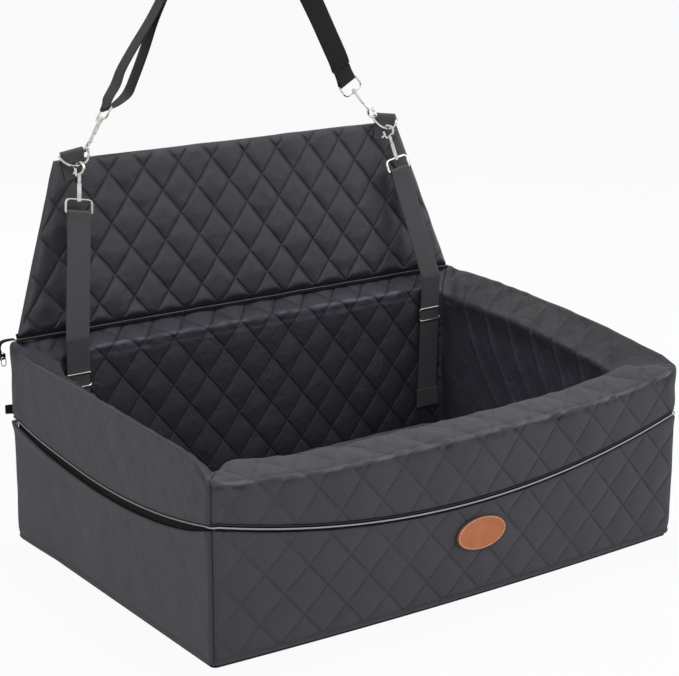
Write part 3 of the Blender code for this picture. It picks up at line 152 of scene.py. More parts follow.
def running(places):
    """Lengths along the first axis of an array of places, from 0 at its start."""
    step = np.linalg.norm(np.diff(places, axis=0), axis=-1)
    return np.concatenate([np.zeros((1, *step.shape[1:])), np.cumsum(step, axis=0)])


def line_run(points):
    return list(accumulate(((b - a).length for a, b in zip(points, points[1:])), initial=0.0))


def noise(places, size, seed):
    """Smooth noise from -1 to 1 at each place; size is how broad its folds are."""
    grid = np.asarray(places, float) / np.asarray(size, float) + 31.7 * seed
    cell = np.floor(grid).astype(np.int64)
    part = smooth(grid - cell)
    total = np.zeros(grid.shape[:-1])
    for corner in range(8):
        step = np.array([(corner >> k) & 1 for k in range(3)])
        key = (cell + step) * np.array([73856093, 19349663, 83492791])
        mixed = (key[..., 0] ^ key[..., 1] ^ key[..., 2] ^ (seed * 7919)) & 0xFFFFFFFF
        mixed = ((mixed ^ (mixed >> 15)) * 739982445) & 0xFFFFFFFF
        mixed = ((mixed ^ (mixed >> 12)) * 695872825) & 0xFFFFFFFF
        mixed = mixed ^ (mixed >> 15)
        weight = np.prod(np.where(step, part, 1 - part), axis=-1)
        total += weight * (mixed / 0x7FFFFFFF - 1)
    return total


# Quilting of each panel: a crossing of its lines, and the two steps from crossing to crossing
QUILTS = {
    "front_low": ((-0.2626, 0.1141), (0.0299, -0.0352), (0.0372, 0.0344)),
    "front_high": ((-0.2442, 0.2174), (0.0335, -0.0395), (0.0350, 0.0409)),
    "inner": ((-0.2811, 0.2762), (0.0290, -0.0352), (0.0315, 0.0403)),
    "flap": ((-0.1670, 0.2293), (0.0292, -0.0383), (0.0315, 0.0396)),
}


def lattice(u, v, name):
    """Where places lie on a panel's quilting: whole numbers are lines of stitches."""
    origin, first, second = QUILTS[name]
    turn = np.linalg.inv(np.array([first, second]).T)
    u, v = u - origin[0], v - origin[1]
    return turn[0, 0] * u + turn[0, 1] * v, turn[1, 0] * u + turn[1, 1] * v


def puff(a, b):
    """Height of a quilted diamond, 0 on its stitches and 1 in its middle."""
    return (np.abs(np.sin(math.pi * a)) * np.abs(np.sin(math.pi * b))) ** 0.5


class Sheet:
    """Grids of points that become one mesh, with its maps for the materials."""

    def __init__(self):
        self.places, self.faces, self.caps, self.count = [], [], [], 0
        self.maps = {"metres": [], "stitch": []}
        # The pale layer holds painted light and shade for the cloth's colour: painted highlights above 0,
        # painted shade below 0.
        self.shades = {"quilted": [], "pale": []}

    def grid(self, places, metres=None, stitch=None, quilted=0.0, pale=0.0, closed=False, flip=False):
        """Adds rows by columns of points; closed joins the last column to the first."""
        places = np.asarray(places, float)
        size = places.shape[:2]
        index = np.arange(size[0] * size[1]).reshape(size) + self.count
        self.count += index.size
        if closed:
            index = np.concatenate([index, index[:, :1]], axis=1)
        quads = np.stack([index[:-1, :-1], index[:-1, 1:], index[1:, 1:], index[1:, :-1]], axis=-1)
        quads = quads.reshape(-1, 4)
        self.faces.append(quads[:, ::-1] if flip else quads)
        self.places.append(places.reshape(-1, 3))
        blank = np.full((*size, 2), 0.5)
        for layer, values in (("metres", metres), ("stitch", stitch)):
            self.maps[layer].append(np.asarray(blank if values is None else values).reshape(-1, 2))
        for layer, values in (("quilted", quilted), ("pale", pale)):
            self.shades[layer].append(np.broadcast_to(values, size).reshape(-1))
        return index

    def close(self, index):
        """Caps both ends of a closed grid."""
        self.caps += [index[0, :-1], index[-1, :-1][::-1]]

    def make(self, name, material):
        """The finished object; its caps are faces with many corners."""
        mesh = bpy.data.meshes.new(name)
        faces = [tuple(face) for block in self.faces for face in block.tolist()]
        faces += [tuple(int(i) for i in cap) for cap in self.caps]
        mesh.from_pydata(np.concatenate(self.places).tolist(), [], faces)
        corners = np.zeros(len(mesh.loops), np.int32)
        mesh.loops.foreach_get("vertex_index", corners)
        for layer, blocks in self.maps.items():
            values = np.concatenate(blocks)[corners]
            mesh.uv_layers.new(name=layer).data.foreach_set("uv", values.astype(np.float32).ravel())
        for layer, blocks in self.shades.items():
            values = mesh.attributes.new(layer, "FLOAT", "POINT")
            values.data.foreach_set("value", np.concatenate(blocks).astype(np.float32))
        mesh.polygons.foreach_set("use_smooth", [True] * len(mesh.polygons))
        mesh.materials.append(material)
        mesh.update()
        piece = bpy.data.objects.new(name, mesh)
        bpy.context.collection.objects.link(piece)
        return piece


def settle(sheet, name, finish, body, slot, *nodes):
    """Makes a sheet's piece, which rides on a body and stands for CAD nodes; the slot is not used."""
    piece = sheet.make(name, FINISHES[finish])
    if nodes:
        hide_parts(*nodes)
    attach(piece, body)
    return piece


def directions(points, closed=False):
    """The way along a line at each of its points."""
    before, after = (points[-1:], points[:1]) if closed else (points[:1], points[-1:])
    line = before + points + after
    return [(b - a).normalized() for a, b in zip(line, line[2:])]


def square_to(vector, axis):
    return (vector - axis * vector.dot(axis)).normalized()


def smooth_line(points, steps):
    """Points on a smooth curve through the given ones."""
    result = []
    for i in range(len(points) - 1):
        p1, p2 = points[i], points[i + 1]
        p0 = points[i - 1] if i > 0 else p1 * 2 - p2
        p3 = points[i + 2] if i + 2 < len(points) else p2 * 2 - p1
        for k in range(steps):
            t = k / steps
            bend = (p0 * 2 - p1 * 5 + p2 * 4 - p3) * (t * t) + (p1 * 3 - p0 - p2 * 3 + p3) * (t ** 3)
            result.append((p1 * 2 + (p2 - p0) * t + bend) / 2)
    return result + [points[-1]]


def refine(points, longest):
    """The same line with no stretch longer than a given length."""
    result = [points[0]]
    for a, b in zip(points, points[1:]):
        count = max(1, math.ceil((b - a).length / longest))
        result += [a.lerp(b, k / count) for k in range(1, count + 1)]
    return result


def frame_matrix(place, x_axis, y_axis, z_axis):
    return Matrix.Translation(place) @ Matrix((x_axis, y_axis, z_axis)).transposed().to_4x4()


def tube(sheet, points, radii, side, closed=False, sides=12):
    """A round wire along points; radii is one number, or one for each point."""
    if not hasattr(radii, "__len__"):
        radii = [radii] * len(points)
    turns = [math.tau * (k + 0.5) / sides for k in range(sides)]
    rows = []
    for point, along, radius in zip(points, directions(points, closed), radii):
        across = square_to(side, along)
        up = along.cross(across)
        rows.append([point + (across * math.cos(t) + up * math.sin(t)) * radius for t in turns])
    metres = [[(radius * t, run) for t in turns] for radius, run in zip(radii, line_run(points))]
    if closed:
        rows.append(rows[0])
        metres.append(metres[0])
    index = sheet.grid(rows, metres, closed=True)
    if not closed:
        sheet.close(index)


# Half of a ribbon's section: shares of its half width and of its half thickness
RIBBON_SECTION = ((-1, 0.12), (-0.985, 0.7), (-0.94, 1), (-0.6, 1), (-0.2, 1),
                  (0.2, 1), (0.6, 1), (0.94, 1), (0.985, 0.7), (1, 0.12))


def ribbon(sheet, points, widths, width=WEBBING_WIDTH, thickness=WEBBING_THICKNESS):
    """Webbing with soft edges along points; widths is the way across it, or one for each point."""
    if isinstance(widths, Vector):
        widths = [widths] * len(points)
    outline = [(x * width / 2, y * thickness / 2) for x, y in RIBBON_SECTION]
    outline += [(x, -y) for x, y in outline[::-1]]
    rows = []
    for point, along, across in zip(points, directions(points), widths):
        across = square_to(across, along)
        up = along.cross(across).normalized()
        rows.append([point + across * x + up * y for x, y in outline])
    metres = [[(x, run) for x, _ in outline] for run in line_run(points)]
    sheet.close(sheet.grid(rows, metres, closed=True))


# A stitch's hump: shares along it, and how many radii it stands out
STITCH_SHAPE = ((0, -0.6), (0.12, 0.25), (0.5, 0.55), (0.88, 0.25), (1, -0.6))


def dashes(sheet, line, length, gap, radius):
    """Stitches of thread along a line on a face that looks to the front."""
    runs, axes = line_run(line), np.array(line).T
    for k in range(int((runs[-1] + gap) / (length + gap))):
        points = []
        for share, lift in STITCH_SHAPE:
            run = k * (length + gap) + share * length
            place = Vector([np.interp(run, runs, axis) for axis in axes])
            points.append(place - BACKWARD * radius * lift)
        radii = [radius * 0.6, radius, radius, radius, radius * 0.6]
        tube(sheet, points, radii, -BACKWARD, sides=6)


# Node trees


class Value:
    """A node's output. Sums of values add math nodes."""

    def __init__(self, tree, socket):
        self.tree, self.socket = tree, socket

    def math(self, operation, *others):
        return node(self.tree, "ShaderNodeMath", dict(enumerate((self, *others))), operation=operation)

    def __add__(self, other):
        return self.math("ADD", other)

    def __mul__(self, other):
        return self.math("MULTIPLY", other)

    def __sub__(self, other):
        return self.math("SUBTRACT", other)

    def __rsub__(self, other):
        return node(self.tree, "ShaderNodeMath", {0: other, 1: self}, operation="SUBTRACT")

    __radd__, __rmul__ = __add__, __mul__


def join(value, socket):
    """Sets an input to a plain value, or feeds it from a node."""
    if isinstance(value, Value):
        value.tree.links.new(value.socket, socket)
    else:
        socket.default_value = value


def node(tree, kind, inputs=None, output=0, **settings):
    """Adds a node and gives one of its outputs; inputs go by name or number."""
    item = tree.nodes.new(kind)
    for key, value in settings.items():
        setattr(item, key, value)
    for key, value in (inputs or {}).items():
        join(value, item.inputs[key])
    return Value(tree, item.outputs[output])


def new_material(name):
    material = bpy.data.materials.new(name)
    material.use_nodes = True
    return material, material.node_tree


def paint(tree, inputs):
    """Sets the inputs of a material's shader."""
    for name, value in inputs.items():
        join(value, tree.nodes["Principled BSDF"].inputs[name])


def screen(color):
    """A colour as it looks on screen, made linear for a shader."""
    linear = [((c + 0.055) / 1.055) ** 2.4 if c > 0.04045 else c / 12.92 for c in color]
    return (*linear, 1.0)


def object_place(tree):
    return node(tree, "ShaderNodeTexCoord", output="Object")


def spots(tree, scale, detail=2.0, stretch=None):
    """Noise in the piece's own metres."""
    place = object_place(tree)
    if stretch:
        place = node(tree, "ShaderNodeMapping", {"Vector": place, "Scale": stretch})
    return node(tree, "ShaderNodeTexNoise", {"Vector": place, "Scale": scale, "Detail": detail})


def cells(tree, scale):
    inputs = {"Vector": object_place(tree), "Scale": scale}
    return node(tree, "ShaderNodeTexVoronoi", inputs, output="Distance")


def point_map(tree, name):
    return node(tree, "ShaderNodeAttribute", output="Fac", attribute_name=name)


def axes_of(place):
    """The first two coordinates of a place."""
    return [node(place.tree, "ShaderNodeSeparateXYZ", {0: place}, output=k) for k in (0, 1)]


def map_axes(tree, layer):
    return axes_of(node(tree, "ShaderNodeUVMap", uv_map=layer))


def ranged(value, low, high, to_low, to_high):
    """Maps a value from one range to another, smoothly, and keeps it inside."""
    inputs = {0: value, 1: low, 2: high, 3: to_low, 4: to_high}
    return node(value.tree, "ShaderNodeMapRange", inputs, interpolation_type="SMOOTHSTEP")


def tinted(color, factor):
    """The colour times a factor."""
    inputs = {0: screen(color)[:3], 3: factor}
    return node(factor.tree, "ShaderNodeVectorMath", inputs, operation="SCALE")


def bumped(height, distance, strength=1.0, normal=None):
    inputs = {"Height": height, "Distance": distance, "Strength": strength}
    if normal:
        inputs["Normal"] = normal
    return node(height.tree, "ShaderNodeBump", inputs)


def wave(value, pitch):
    return (value * (math.tau / pitch)).math("SINE")


def seen_ray(tree):
    """1 for what the camera, a mirror or glass looks at, and 0 for light on its way."""
    camera, glossy, clear = (node(tree, "ShaderNodeLightPath", output=f"Is {ray} Ray")
                             for ray in ("Camera", "Glossy", "Transmission"))
    return camera.math("MAXIMUM", glossy).math("MAXIMUM", clear)


# Camera, light and floor


def make_camera():
    data = bpy.data.cameras.new("camera")
    data.sensor_fit = "HORIZONTAL"
    data.sensor_width = 36.0
    data.lens = CAMERA_LENS
    camera = bpy.data.objects.new("camera", data)
    camera.location = CAMERA_PLACE
    camera.rotation_euler = (math.radians(90 - CAMERA_DOWN_ANGLE), 0, math.radians(CAMERA_TURN_ANGLE))
    bpy.context.collection.objects.link(camera)
    bpy.context.scene.camera = camera


def make_world():
    world = bpy.data.worlds.new("studio")
    bpy.context.scene.world = world
    world.use_nodes = True
    tree = world.node_tree
    back = tree.nodes["Background"]
    back.inputs["Color"].default_value = (1, 1, 1, 1)
    strength = node(tree, "ShaderNodeMapRange", {0: seen_ray(tree), 3: WORLD_LIGHT, 4: 1.0})
    join(strength, back.inputs["Strength"])


def make_lamps():
    for name, place, size, power in LAMPS:
        data = bpy.data.lights.new(name, "AREA")
        data.shape = "DISK"
        data.size = size
        data.energy = power
        lamp = bpy.data.objects.new(name, data)
        lamp.location = place
        way = Vector((0, 0, 0.25)) - Vector(place)
        lamp.rotation_euler = way.to_track_quat("-Z", "Y").to_euler()
        bpy.context.collection.objects.link(lamp)


def make_stage():
    """A plain pale floor, which keeps a soft shadow."""
    line = np.linspace(-FLOOR_REACH, FLOOR_REACH, 17)
    sheet = Sheet()
    sheet.grid(stacked(line, line[:, None], FLOOR_HEIGHT))
    material, tree = new_material("pale_floor")
    paint(tree, {"Base Color": (0.86, 0.86, 0.86, 1), "Roughness": 0.9, "Specular IOR Level": 0.1})
    matt = Value(tree, tree.nodes["Principled BSDF"].outputs[0])
    glow = node(tree, "ShaderNodeEmission", {"Color": (1, 1, 1, 1), "Strength": 1.0})
    both = node(tree, "ShaderNodeMixShader", {0: seen_ray(tree) * 0.93, 1: matt, 2: glow})
    join(both, tree.nodes["Material Output"].inputs["Surface"])
    sheet.make("floor", material)


# Materials


def stitch_masks(tree):
    """The groove along each line of stitches, and the thread in it."""
    a, b = (axis + 64.0 for axis in map_axes(tree, "stitch"))
    grooves, threads = [], []
    for across, along in ((a, b), (b, a)):
        away = across.math("PINGPONG", 0.5)
        dash = (along * 16.0).math("PINGPONG", 0.5)
        grooves.append(ranged(away, 0.006, 0.075, 1.0, 0.0))
        threads.append(ranged(away, 0.006, 0.012, 1.0, 0.0) * ranged(dash, 0.10, 0.18, 0.0, 1.0))
    quilted = point_map(tree, "quilted")
    return [first.math("MAXIMUM", second) * quilted for first, second in (grooves, threads)]


def cloth(name, color, roughness, pitch=0.0011, heather=0.16, quilted=True, wrinkle=0.0006,
          sheen=0.15, groove_painted_shade=0.45, creased=0.5, shine=0.5):
    """Woven cloth: flecked threads, a fine weave, creases and, where quilted, lines of stitches with
    painted shade in their grooves; the pale map paints light and shade into the colour.
    """
    material, tree = new_material(name)
    fleck = ranged(spots(tree, 900.0, 1.0), 0.3, 0.7, 1 - heather, 1 + heather)
    patch = ranged(spots(tree, 9.0, 3.0), 0.3, 0.7, 0.93, 1.07)
    # The pale map is painted light and shade: painted highlights above 0, painted shade below 0.
    factor = fleck * (patch * (1.0 + point_map(tree, "pale") * 2.2))
    ridges = ranged((spots(tree, 24.0, 3.0) - 0.5).math("ABSOLUTE"), 0.0, 0.09, 0.6, 0.0)
    normal = bumped(spots(tree, 48.0, 4.0) + ridges * creased, wrinkle, 0.9)
    if quilted:
        groove, thread = stitch_masks(tree)
        # The grooves darken the colour as painted shade; the lighter thread is its own colour.
        factor = factor * ((1.0 - groove * groove_painted_shade) + thread * 0.35)
        normal = bumped(groove.math("POWER", 1.6) * -1.0, 0.0014, 1.0, normal)
        normal = bumped(thread, 0.0004, 0.8, normal)
    u, v = map_axes(tree, "metres")
    normal = bumped(wave(u, pitch) * wave(v, pitch), pitch * 0.14, 0.55, normal)
    paint(tree, {"Base Color": tinted(color, factor), "Normal": normal, "Roughness": roughness,
                 "Sheen Weight": sheen, "Sheen Roughness": 0.5, "Specular IOR Level": shine})
    return material


def webbing(name, color, sheen=0.2, shine=0.5):
    """Ribbed webbing with fine yarns across it."""
    material, tree = new_material(name)
    u, v = map_axes(tree, "metres")
    lay = wave(u, 0.0016) + wave(v, 0.0013) * 0.6
    fleck = ranged(spots(tree, 700.0, 1.0), 0.3, 0.7, 0.84, 1.16)
    shade = ranged(lay, -1.6, 1.6, 0.93, 1.06)
    paint(tree, {"Base Color": tinted(color, fleck * shade), "Normal": bumped(lay, 0.00012, 0.7),
                 "Roughness": 0.72, "Sheen Weight": sheen, "Specular IOR Level": shine})
    return material


def nickel(name, color):
    """Plated wire with faint scuffs and a few dull spots."""
    material, tree = new_material(name)
    scuff = spots(tree, 120.0, 4.0, (1.0, 1.0, 0.25))
    dull = ranged(spots(tree, 90.0), 0.38, 0.65, 1.05, 0.84)
    paint(tree, {"Base Color": tinted(color, dull), "Normal": bumped(scuff, 0.00003, 0.4),
                 "Roughness": ranged(scuff, 0.35, 0.75, 0.08, 0.20), "Metallic": 1.0})
    return material


def coil(name, color, roughness):
    """Zip teeth: a wound coil, with one turn for each tooth; the colour darkens between the turns as
    painted shade.
    """
    material, tree = new_material(name)
    turn = wave(map_axes(tree, "metres")[1], 0.0018)
    paint(tree, {"Base Color": tinted(color, ranged(turn, -1.0, 1.0, 0.62, 1.12)),
                 "Normal": bumped(turn, 0.0005, 0.9), "Roughness": roughness})
    return material


def leather(name, color, burnt_color):
    """Leather with pores and a burnt rim; the stitch map holds the share out to the rim."""
    material, tree = new_material(name)
    pores = cells(tree, 900.0)
    cloud = ranged(spots(tree, 45.0, 4.0), 0.3, 0.7, 0.90, 1.10)
    tone = tinted(color, cloud * ranged(pores, 0.0, 0.6, 0.90, 1.04))
    edge = map_axes(tree, "stitch")[0] + spots(tree, 160.0, 3.0) * 0.05
    inputs = {0: ranged(edge, 0.948, 0.990, 0.0, 1.0), 6: tone, 7: screen(burnt_color)}
    grain = bumped(pores, 0.00022, 0.6)
    paint(tree, {"Base Color": node(tree, "ShaderNodeMix", inputs, output=2, data_type="RGBA"),
                 "Normal": bumped(spots(tree, 300.0, 4.0), 0.0003, 0.5, grain), "Roughness": 0.55})
    return material


def rubber(name, color):
    """A dark sheet with rows of small dots that grip."""
    material, tree = new_material(name)
    away = [((axis + 1.0) * (1 / 0.008)).math("PINGPONG", 0.5) for axis in axes_of(object_place(tree))]
    dot = ranged((away[0] * away[0] + away[1] * away[1]).math("SQRT"), 0.18, 0.28, 1.0, 0.0)
    fleck = ranged(spots(tree, 600.0), 0.3, 0.7, 0.85, 1.15)
    paint(tree, {"Base Color": tinted(color, (0.8 + dot * 0.6) * fleck),
                 "Normal": bumped(dot, 0.0006, 0.8), "Roughness": 0.7})
    return material


def cellular(name, color, scale, depth):
    """Foam or pressed board: small cells and soft stains."""
    material, tree = new_material(name)
    cell = cells(tree, scale)
    stain = ranged(spots(tree, 14.0, 3.0), 0.3, 0.7, 0.92, 1.05)
    paint(tree, {"Base Color": tinted(color, ranged(cell, 0.0, 0.7, 0.82, 1.06) * stain),
                 "Normal": bumped(cell, depth, 0.7), "Roughness": 0.95})
    return material


FINISHES = {
    "cover": cloth("charcoal_cover", (0.246, 0.242, 0.272), 0.80, wrinkle=0.0012, creased=0.2),
    "inner": cloth("inner_quilting", (0.205, 0.208, 0.245), 0.48, pitch=0.0009, heather=0.08,
                   wrinkle=0.0022, sheen=0.04, groove_painted_shade=0.5, creased=0.3, shine=0.35),
    "quilt": cloth("quilted_nylon", (0.185, 0.190, 0.222), 0.38, pitch=0.0008, heather=0.06,
                   wrinkle=0.0020, sheen=0.04, groove_painted_shade=0.55, creased=0.18),
    "lining": cloth("mattress_cloth", (0.24, 0.245, 0.26), 0.9, pitch=0.0016, heather=0.2, sheen=0.35),
    # Black zip tape, darkened further to near black so that it also stands for the shade in the zip's gaps:
    # partly painted shade.
    "tape": cloth("zip_tape", (0.035, 0.035, 0.042), 0.85, pitch=0.0009, heather=0.1, quilted=False,
                  sheen=0.0, shine=0.2),
    # Near-white coil colours: a painted highlight along each zip's coil.
    "coil": coil("zip_coil", (0.88, 0.88, 0.90), 0.20),
    "flap_coil_painted_highlight": coil("flap_zip_coil", (0.66, 0.66, 0.68), 0.26),
    "dark_metal": nickel("blackened_metal", (0.16, 0.16, 0.17)),
    "webbing": webbing("webbing", (0.27, 0.275, 0.285)),
    "dark_webbing": webbing("headrest_webbing", (0.130, 0.130, 0.138), 0.02, 0.2),
    "thread": webbing("thread", (0.33, 0.33, 0.34)),
    "pale_thread": webbing("pale_thread", (0.96, 0.88, 0.78)),
    "metal": nickel("nickel", (0.80, 0.79, 0.77)),
    "leather": leather("leather", (0.80, 0.47, 0.30), (0.34, 0.19, 0.12)),
    "grip": rubber("grip_sheet", (0.12, 0.12, 0.13)),
    "foam": cellular("foam", (0.85, 0.84, 0.80), 420.0, 0.0006),
    "board": cellular("board", (0.35, 0.34, 0.32), 260.0, 0.0002),
}


# Frames of the fittings


def joint_facts(name):
    for joint in frame["joints"]:
        if joint["name"] == name:
            return Vector(joint["pos_m"]), Vector(joint["axis"])
    raise ValueError(name)


def flap_matrix():
    lean = Matrix.Rotation(-math.radians(FLAP_LEAN_ANGLE), 4, "X")
    return Matrix.Translation((0, HINGE_Y, HINGE_HEIGHT)) @ lean


def ring_base_matrix(sign):
    centre = Vector((sign * RING_X, RING_STANDOFF, FLAP_HIGH + RING_LIFT))
    tilt = Matrix.Rotation(sign * math.radians(RING_TILT_ANGLE), 4, "Y")
    return flap_matrix() @ Matrix.Translation(centre) @ tilt


def eye_matrix(name, way):
    """The frame of a hook's eye: Z runs on towards the hook's claw, and X is the way across."""
    place, z_axis = joint_facts(name + "_swivel")
    z_axis = z_axis.normalized()
    x_axis = square_to(Vector(way), z_axis)
    return frame_matrix(place, x_axis, z_axis.cross(x_axis), z_axis)


def eye_bar(eye):
    return eye @ Vector((0, 0, -EYE_DEPTH))


def half_turn(bar, front, away):
    """The webbing's way round a bar, from behind it to its front."""
    turns = [math.pi * k / 16 for k in range(17)]
    return [bar - (front * math.cos(turn) + away * math.sin(turn)) * PLY for turn in turns]


PLIES_MEET = 0.014


def bar_loop(eye, away, reach):
    """Webbing that comes down behind an eye's far bar, goes round it and up in front."""
    axes, bar = eye.to_3x3(), eye_bar(eye)
    away = square_to(away, axes.col[0])
    front = away.cross(axes.col[0]).normalized()
    if front.dot(axes.col[1]) > 0:
        front = -front
    behind = [bar + away * high - front * JOINED for high in (reach, PLIES_MEET)]
    ahead = [bar + away * high + front * JOINED for high in (PLIES_MEET, reach)]
    return behind + half_turn(bar, front, away) + ahead


# Headrest strap

HEADREST_ROUTE = (
    (0.2155, 0.3310, 0.6790), (0.2000, 0.3320, 0.7100), (0.1840, 0.3330, 0.7420), (0.1680, 0.3350, 0.7740),
    (0.1540, 0.3370, 0.8020), (0.1370, 0.3390, 0.8340), (0.1110, 0.3410, 0.8660), (0.0740, 0.3430, 0.8890),
    (0.0300, 0.3440, 0.8980), (-0.0140, 0.3440, 0.8920), (-0.0490, 0.3420, 0.8720),
)
HEADREST_TURNS = (0, 0, 0, -3, -10, -28, -52, -76, -90, -90, -87)
DOUBLED_ROUTE = (
    (-0.0940, 0.3360, 0.8150), (-0.1120, 0.3340, 0.7860), (-0.1300, 0.3325, 0.7570),
    (-0.1510, 0.3310, 0.7220), (-0.1720, 0.3290, 0.6880), (-0.1880, 0.3240, 0.6640),
)
DOUBLED_SPREADS = (JOINED, 0.0013, 0.0034, 0.0085, 0.0120, 0.0118, 0.0075)
DOUBLED_TURN = -82.0
LEFT_EYE_WAY = (0.14, 0.97, -0.20)
HEADREST_STEPS = 6
LEAD_LENGTH = 0.030
TAIL_LENGTH = 0.022


def twisted_widths(points, turns):
    """The way across the webbing at each point, turned from the XZ plane about its own line."""
    widths = []
    for along, turn in zip(directions(points), turns):
        level = BACKWARD.cross(along).normalized()
        widths.append(level * math.cos(math.radians(turn)) + BACKWARD * math.sin(math.radians(turn)))
    return widths


def headrest_line():
    """The strap's points and widths, from the right eye round the headrest and back to the left.

    Also the frame of its adjuster, from which it runs double to the left eye.
    """
    right_eye = eye_matrix("right_headrest", RIGHT)
    left_eye = eye_matrix("left_headrest", LEFT_EYE_WAY)
    route = [Vector(place) for place in HEADREST_ROUTE]
    start = bar_loop(right_eye, route[0] - eye_bar(right_eye), 0.024)
    left_bar, bar_axis = eye_bar(left_eye), left_eye.to_3x3().col[0].copy()
    doubled = [Vector(place) for place in DOUBLED_ROUTE]
    away = square_to(doubled[-1] - left_bar, bar_axis)
    doubled.append(left_bar + away * 0.015)
    centres = doubled + [left_bar]
    down = directions(centres)[:-1]
    across = twisted_widths(centres, [DOUBLED_TURN] * len(centres))[:-1]
    sideways = [along.cross(width).normalized() for along, width in zip(down, across)]
    sideways[-1] = square_to(square_to(sideways[-1], away), bar_axis)
    main, back = ([place + side * (sign * spread)
                   for place, side, spread in zip(doubled, sideways, DOUBLED_SPREADS)] for sign in (-1, 1))
    arc = half_turn(left_bar, sideways[-1], away)
    upper = smooth_line([start[-1]] + route + [main[0] - down[0] * LEAD_LENGTH], HEADREST_STEPS)
    stops = (0.0, *HEADREST_TURNS, DOUBLED_TURN)
    turns = np.interp(np.arange(len(upper)) / HEADREST_STEPS, range(len(stops)), stops)
    down_line = smooth_line(main + arc[:1], HEADREST_STEPS)[:-1]
    up_line = smooth_line(arc[-1:] + back[::-1], HEADREST_STEPS)[1:] + [back[0] - down[0] * TAIL_LENGTH]
    descent = start[:-1] + upper + down_line
    turns = np.concatenate([np.zeros(len(start) - 1), turns, np.full(len(down_line) + 1, DOUBLED_TURN)])
    widths = twisted_widths(descent + arc[:1], turns.tolist())[:-1]
    widths[:len(start)] = [right_eye.to_3x3().col[0].copy()] * len(start)
    if bar_axis.dot(widths[-1]) < 0:
        bar_axis = -bar_axis
    rising = twisted_widths((arc[-1:] + up_line)[::-1], [DOUBLED_TURN] * (len(up_line) + 1))[::-1][1:]
    for k in range(HEADREST_STEPS + 1):
        share = 1 - k / (HEADREST_STEPS + 1)
        widths[-1 - k] = widths[-1 - k].lerp(bar_axis, share)
        rising[k] = rising[k].lerp(bar_axis, share)
    widths += [bar_axis] * len(arc) + rising
    frame_x = square_to(across[0], down[0])
    adjuster = frame_matrix(doubled[0], frame_x, down[0].cross(frame_x), down[0])
    return descent + arc + up_line, widths, adjuster


def make_headrest_strap():
    points, widths, place = headrest_line()
    sheet = Sheet()
    ribbon(sheet, points, widths)
    strap = settle(sheet, "headrest_strap_webbing", "dark_webbing", "flap", "webbing", "headrest_strap")
    adjuster = make_adjuster("headrest_adjuster", "headrest_adjuster", place, 2 * WEBBING_THICKNESS + GAP)


ADJUSTER_WIRE = 0.00135
ADJUSTER_HALF = (0.0212, 0.0106)
ADJUSTER_CORNER = 0.0045
ADJUSTER_BEND = 0.0034


def make_adjuster(name, node_name, matrix, stack):
    """A bent wire frame with a middle bar: the webbing goes over the bar and under the frame's ends."""
    half_x, half_z = ADJUSTER_HALF
    depth = stack / 2 + GAP + ADJUSTER_WIRE

    def bent(x, side, z):
        return Vector((x, side * depth * float(smooth((half_x - abs(x)) / ADJUSTER_BEND)), z))

    points = []
    for x_sign, z_sign, start in ((1, -1, 0), (-1, -1, 90), (-1, 1, 180), (1, 1, 270)):
        for k in range(7):
            turn = math.radians(start + 90 * k / 6)
            x = x_sign * (half_x - ADJUSTER_CORNER) + ADJUSTER_CORNER * math.cos(turn)
            z = z_sign * (half_z - ADJUSTER_CORNER) - ADJUSTER_CORNER * math.sin(turn)
            points.append(bent(x, -1, z))
    points = [matrix @ point for point in refine(points + points[:1], 0.003)[:-1]]
    bar = [matrix @ bent(mix(-half_x, half_x, k / 14), 1, 0) for k in range(15)]
    axes = matrix.to_3x3()
    sheet = Sheet()
    tube(sheet, points, ADJUSTER_WIRE, axes.col[1], closed=True)
    tube(sheet, bar, ADJUSTER_WIRE * 0.9, axes.col[2])
    return settle(sheet, name, "metal", node_name, "metal", node_name)


# Covers of the box

SIDES = {
    "front": ((-1, -1), (1, -1), 196),
    "right": ((1, -1), (1, 1), 168),
    "back": ((1, 1), (-1, 1), 160),
    "left": ((-1, 1), (-1, -1), 168),
}
CORNER_SHARES = np.array([0.5, 0.52, 0.56, 0.61, 0.68, 0.76, 0.84, 0.92])
ARC_LENGTH = OUTER_RADIUS * math.pi / 2
# Two corners at which the stuffed cover stands out beyond its pattern in plan, how far, and how near
CORNER_SPREADS = (((-0.41, 0.28), (-0.006, 0.004)), ((0.41, -0.28), (0.004, 0.0)))
SPREAD_REACH = 0.20


def rounded_corner(half_width, half_depth, radius, signs, share):
    centre = np.array([signs[0] * (half_width - radius), signs[1] * (half_depth - radius)])
    ends = np.array([[signs[0], 0], [0, signs[1]]], float)
    first, last = ends[::-1] if signs[0] * signs[1] < 0 else ends
    turn = np.asarray(share)[:, None] * math.pi / 2
    outward = first * np.cos(turn) + last * np.sin(turn)
    return centre + outward * radius, outward


def corner_pair(signs, share):
    outer, outward = rounded_corner(BOX_WIDTH / 2, BOX_DEPTH / 2, OUTER_RADIUS, signs, share)
    inner, _ = rounded_corner(BOX_WIDTH / 2 - WALL, BOX_DEPTH / 2 - WALL, INNER_RADIUS, signs, share)
    return inner, outer, outward


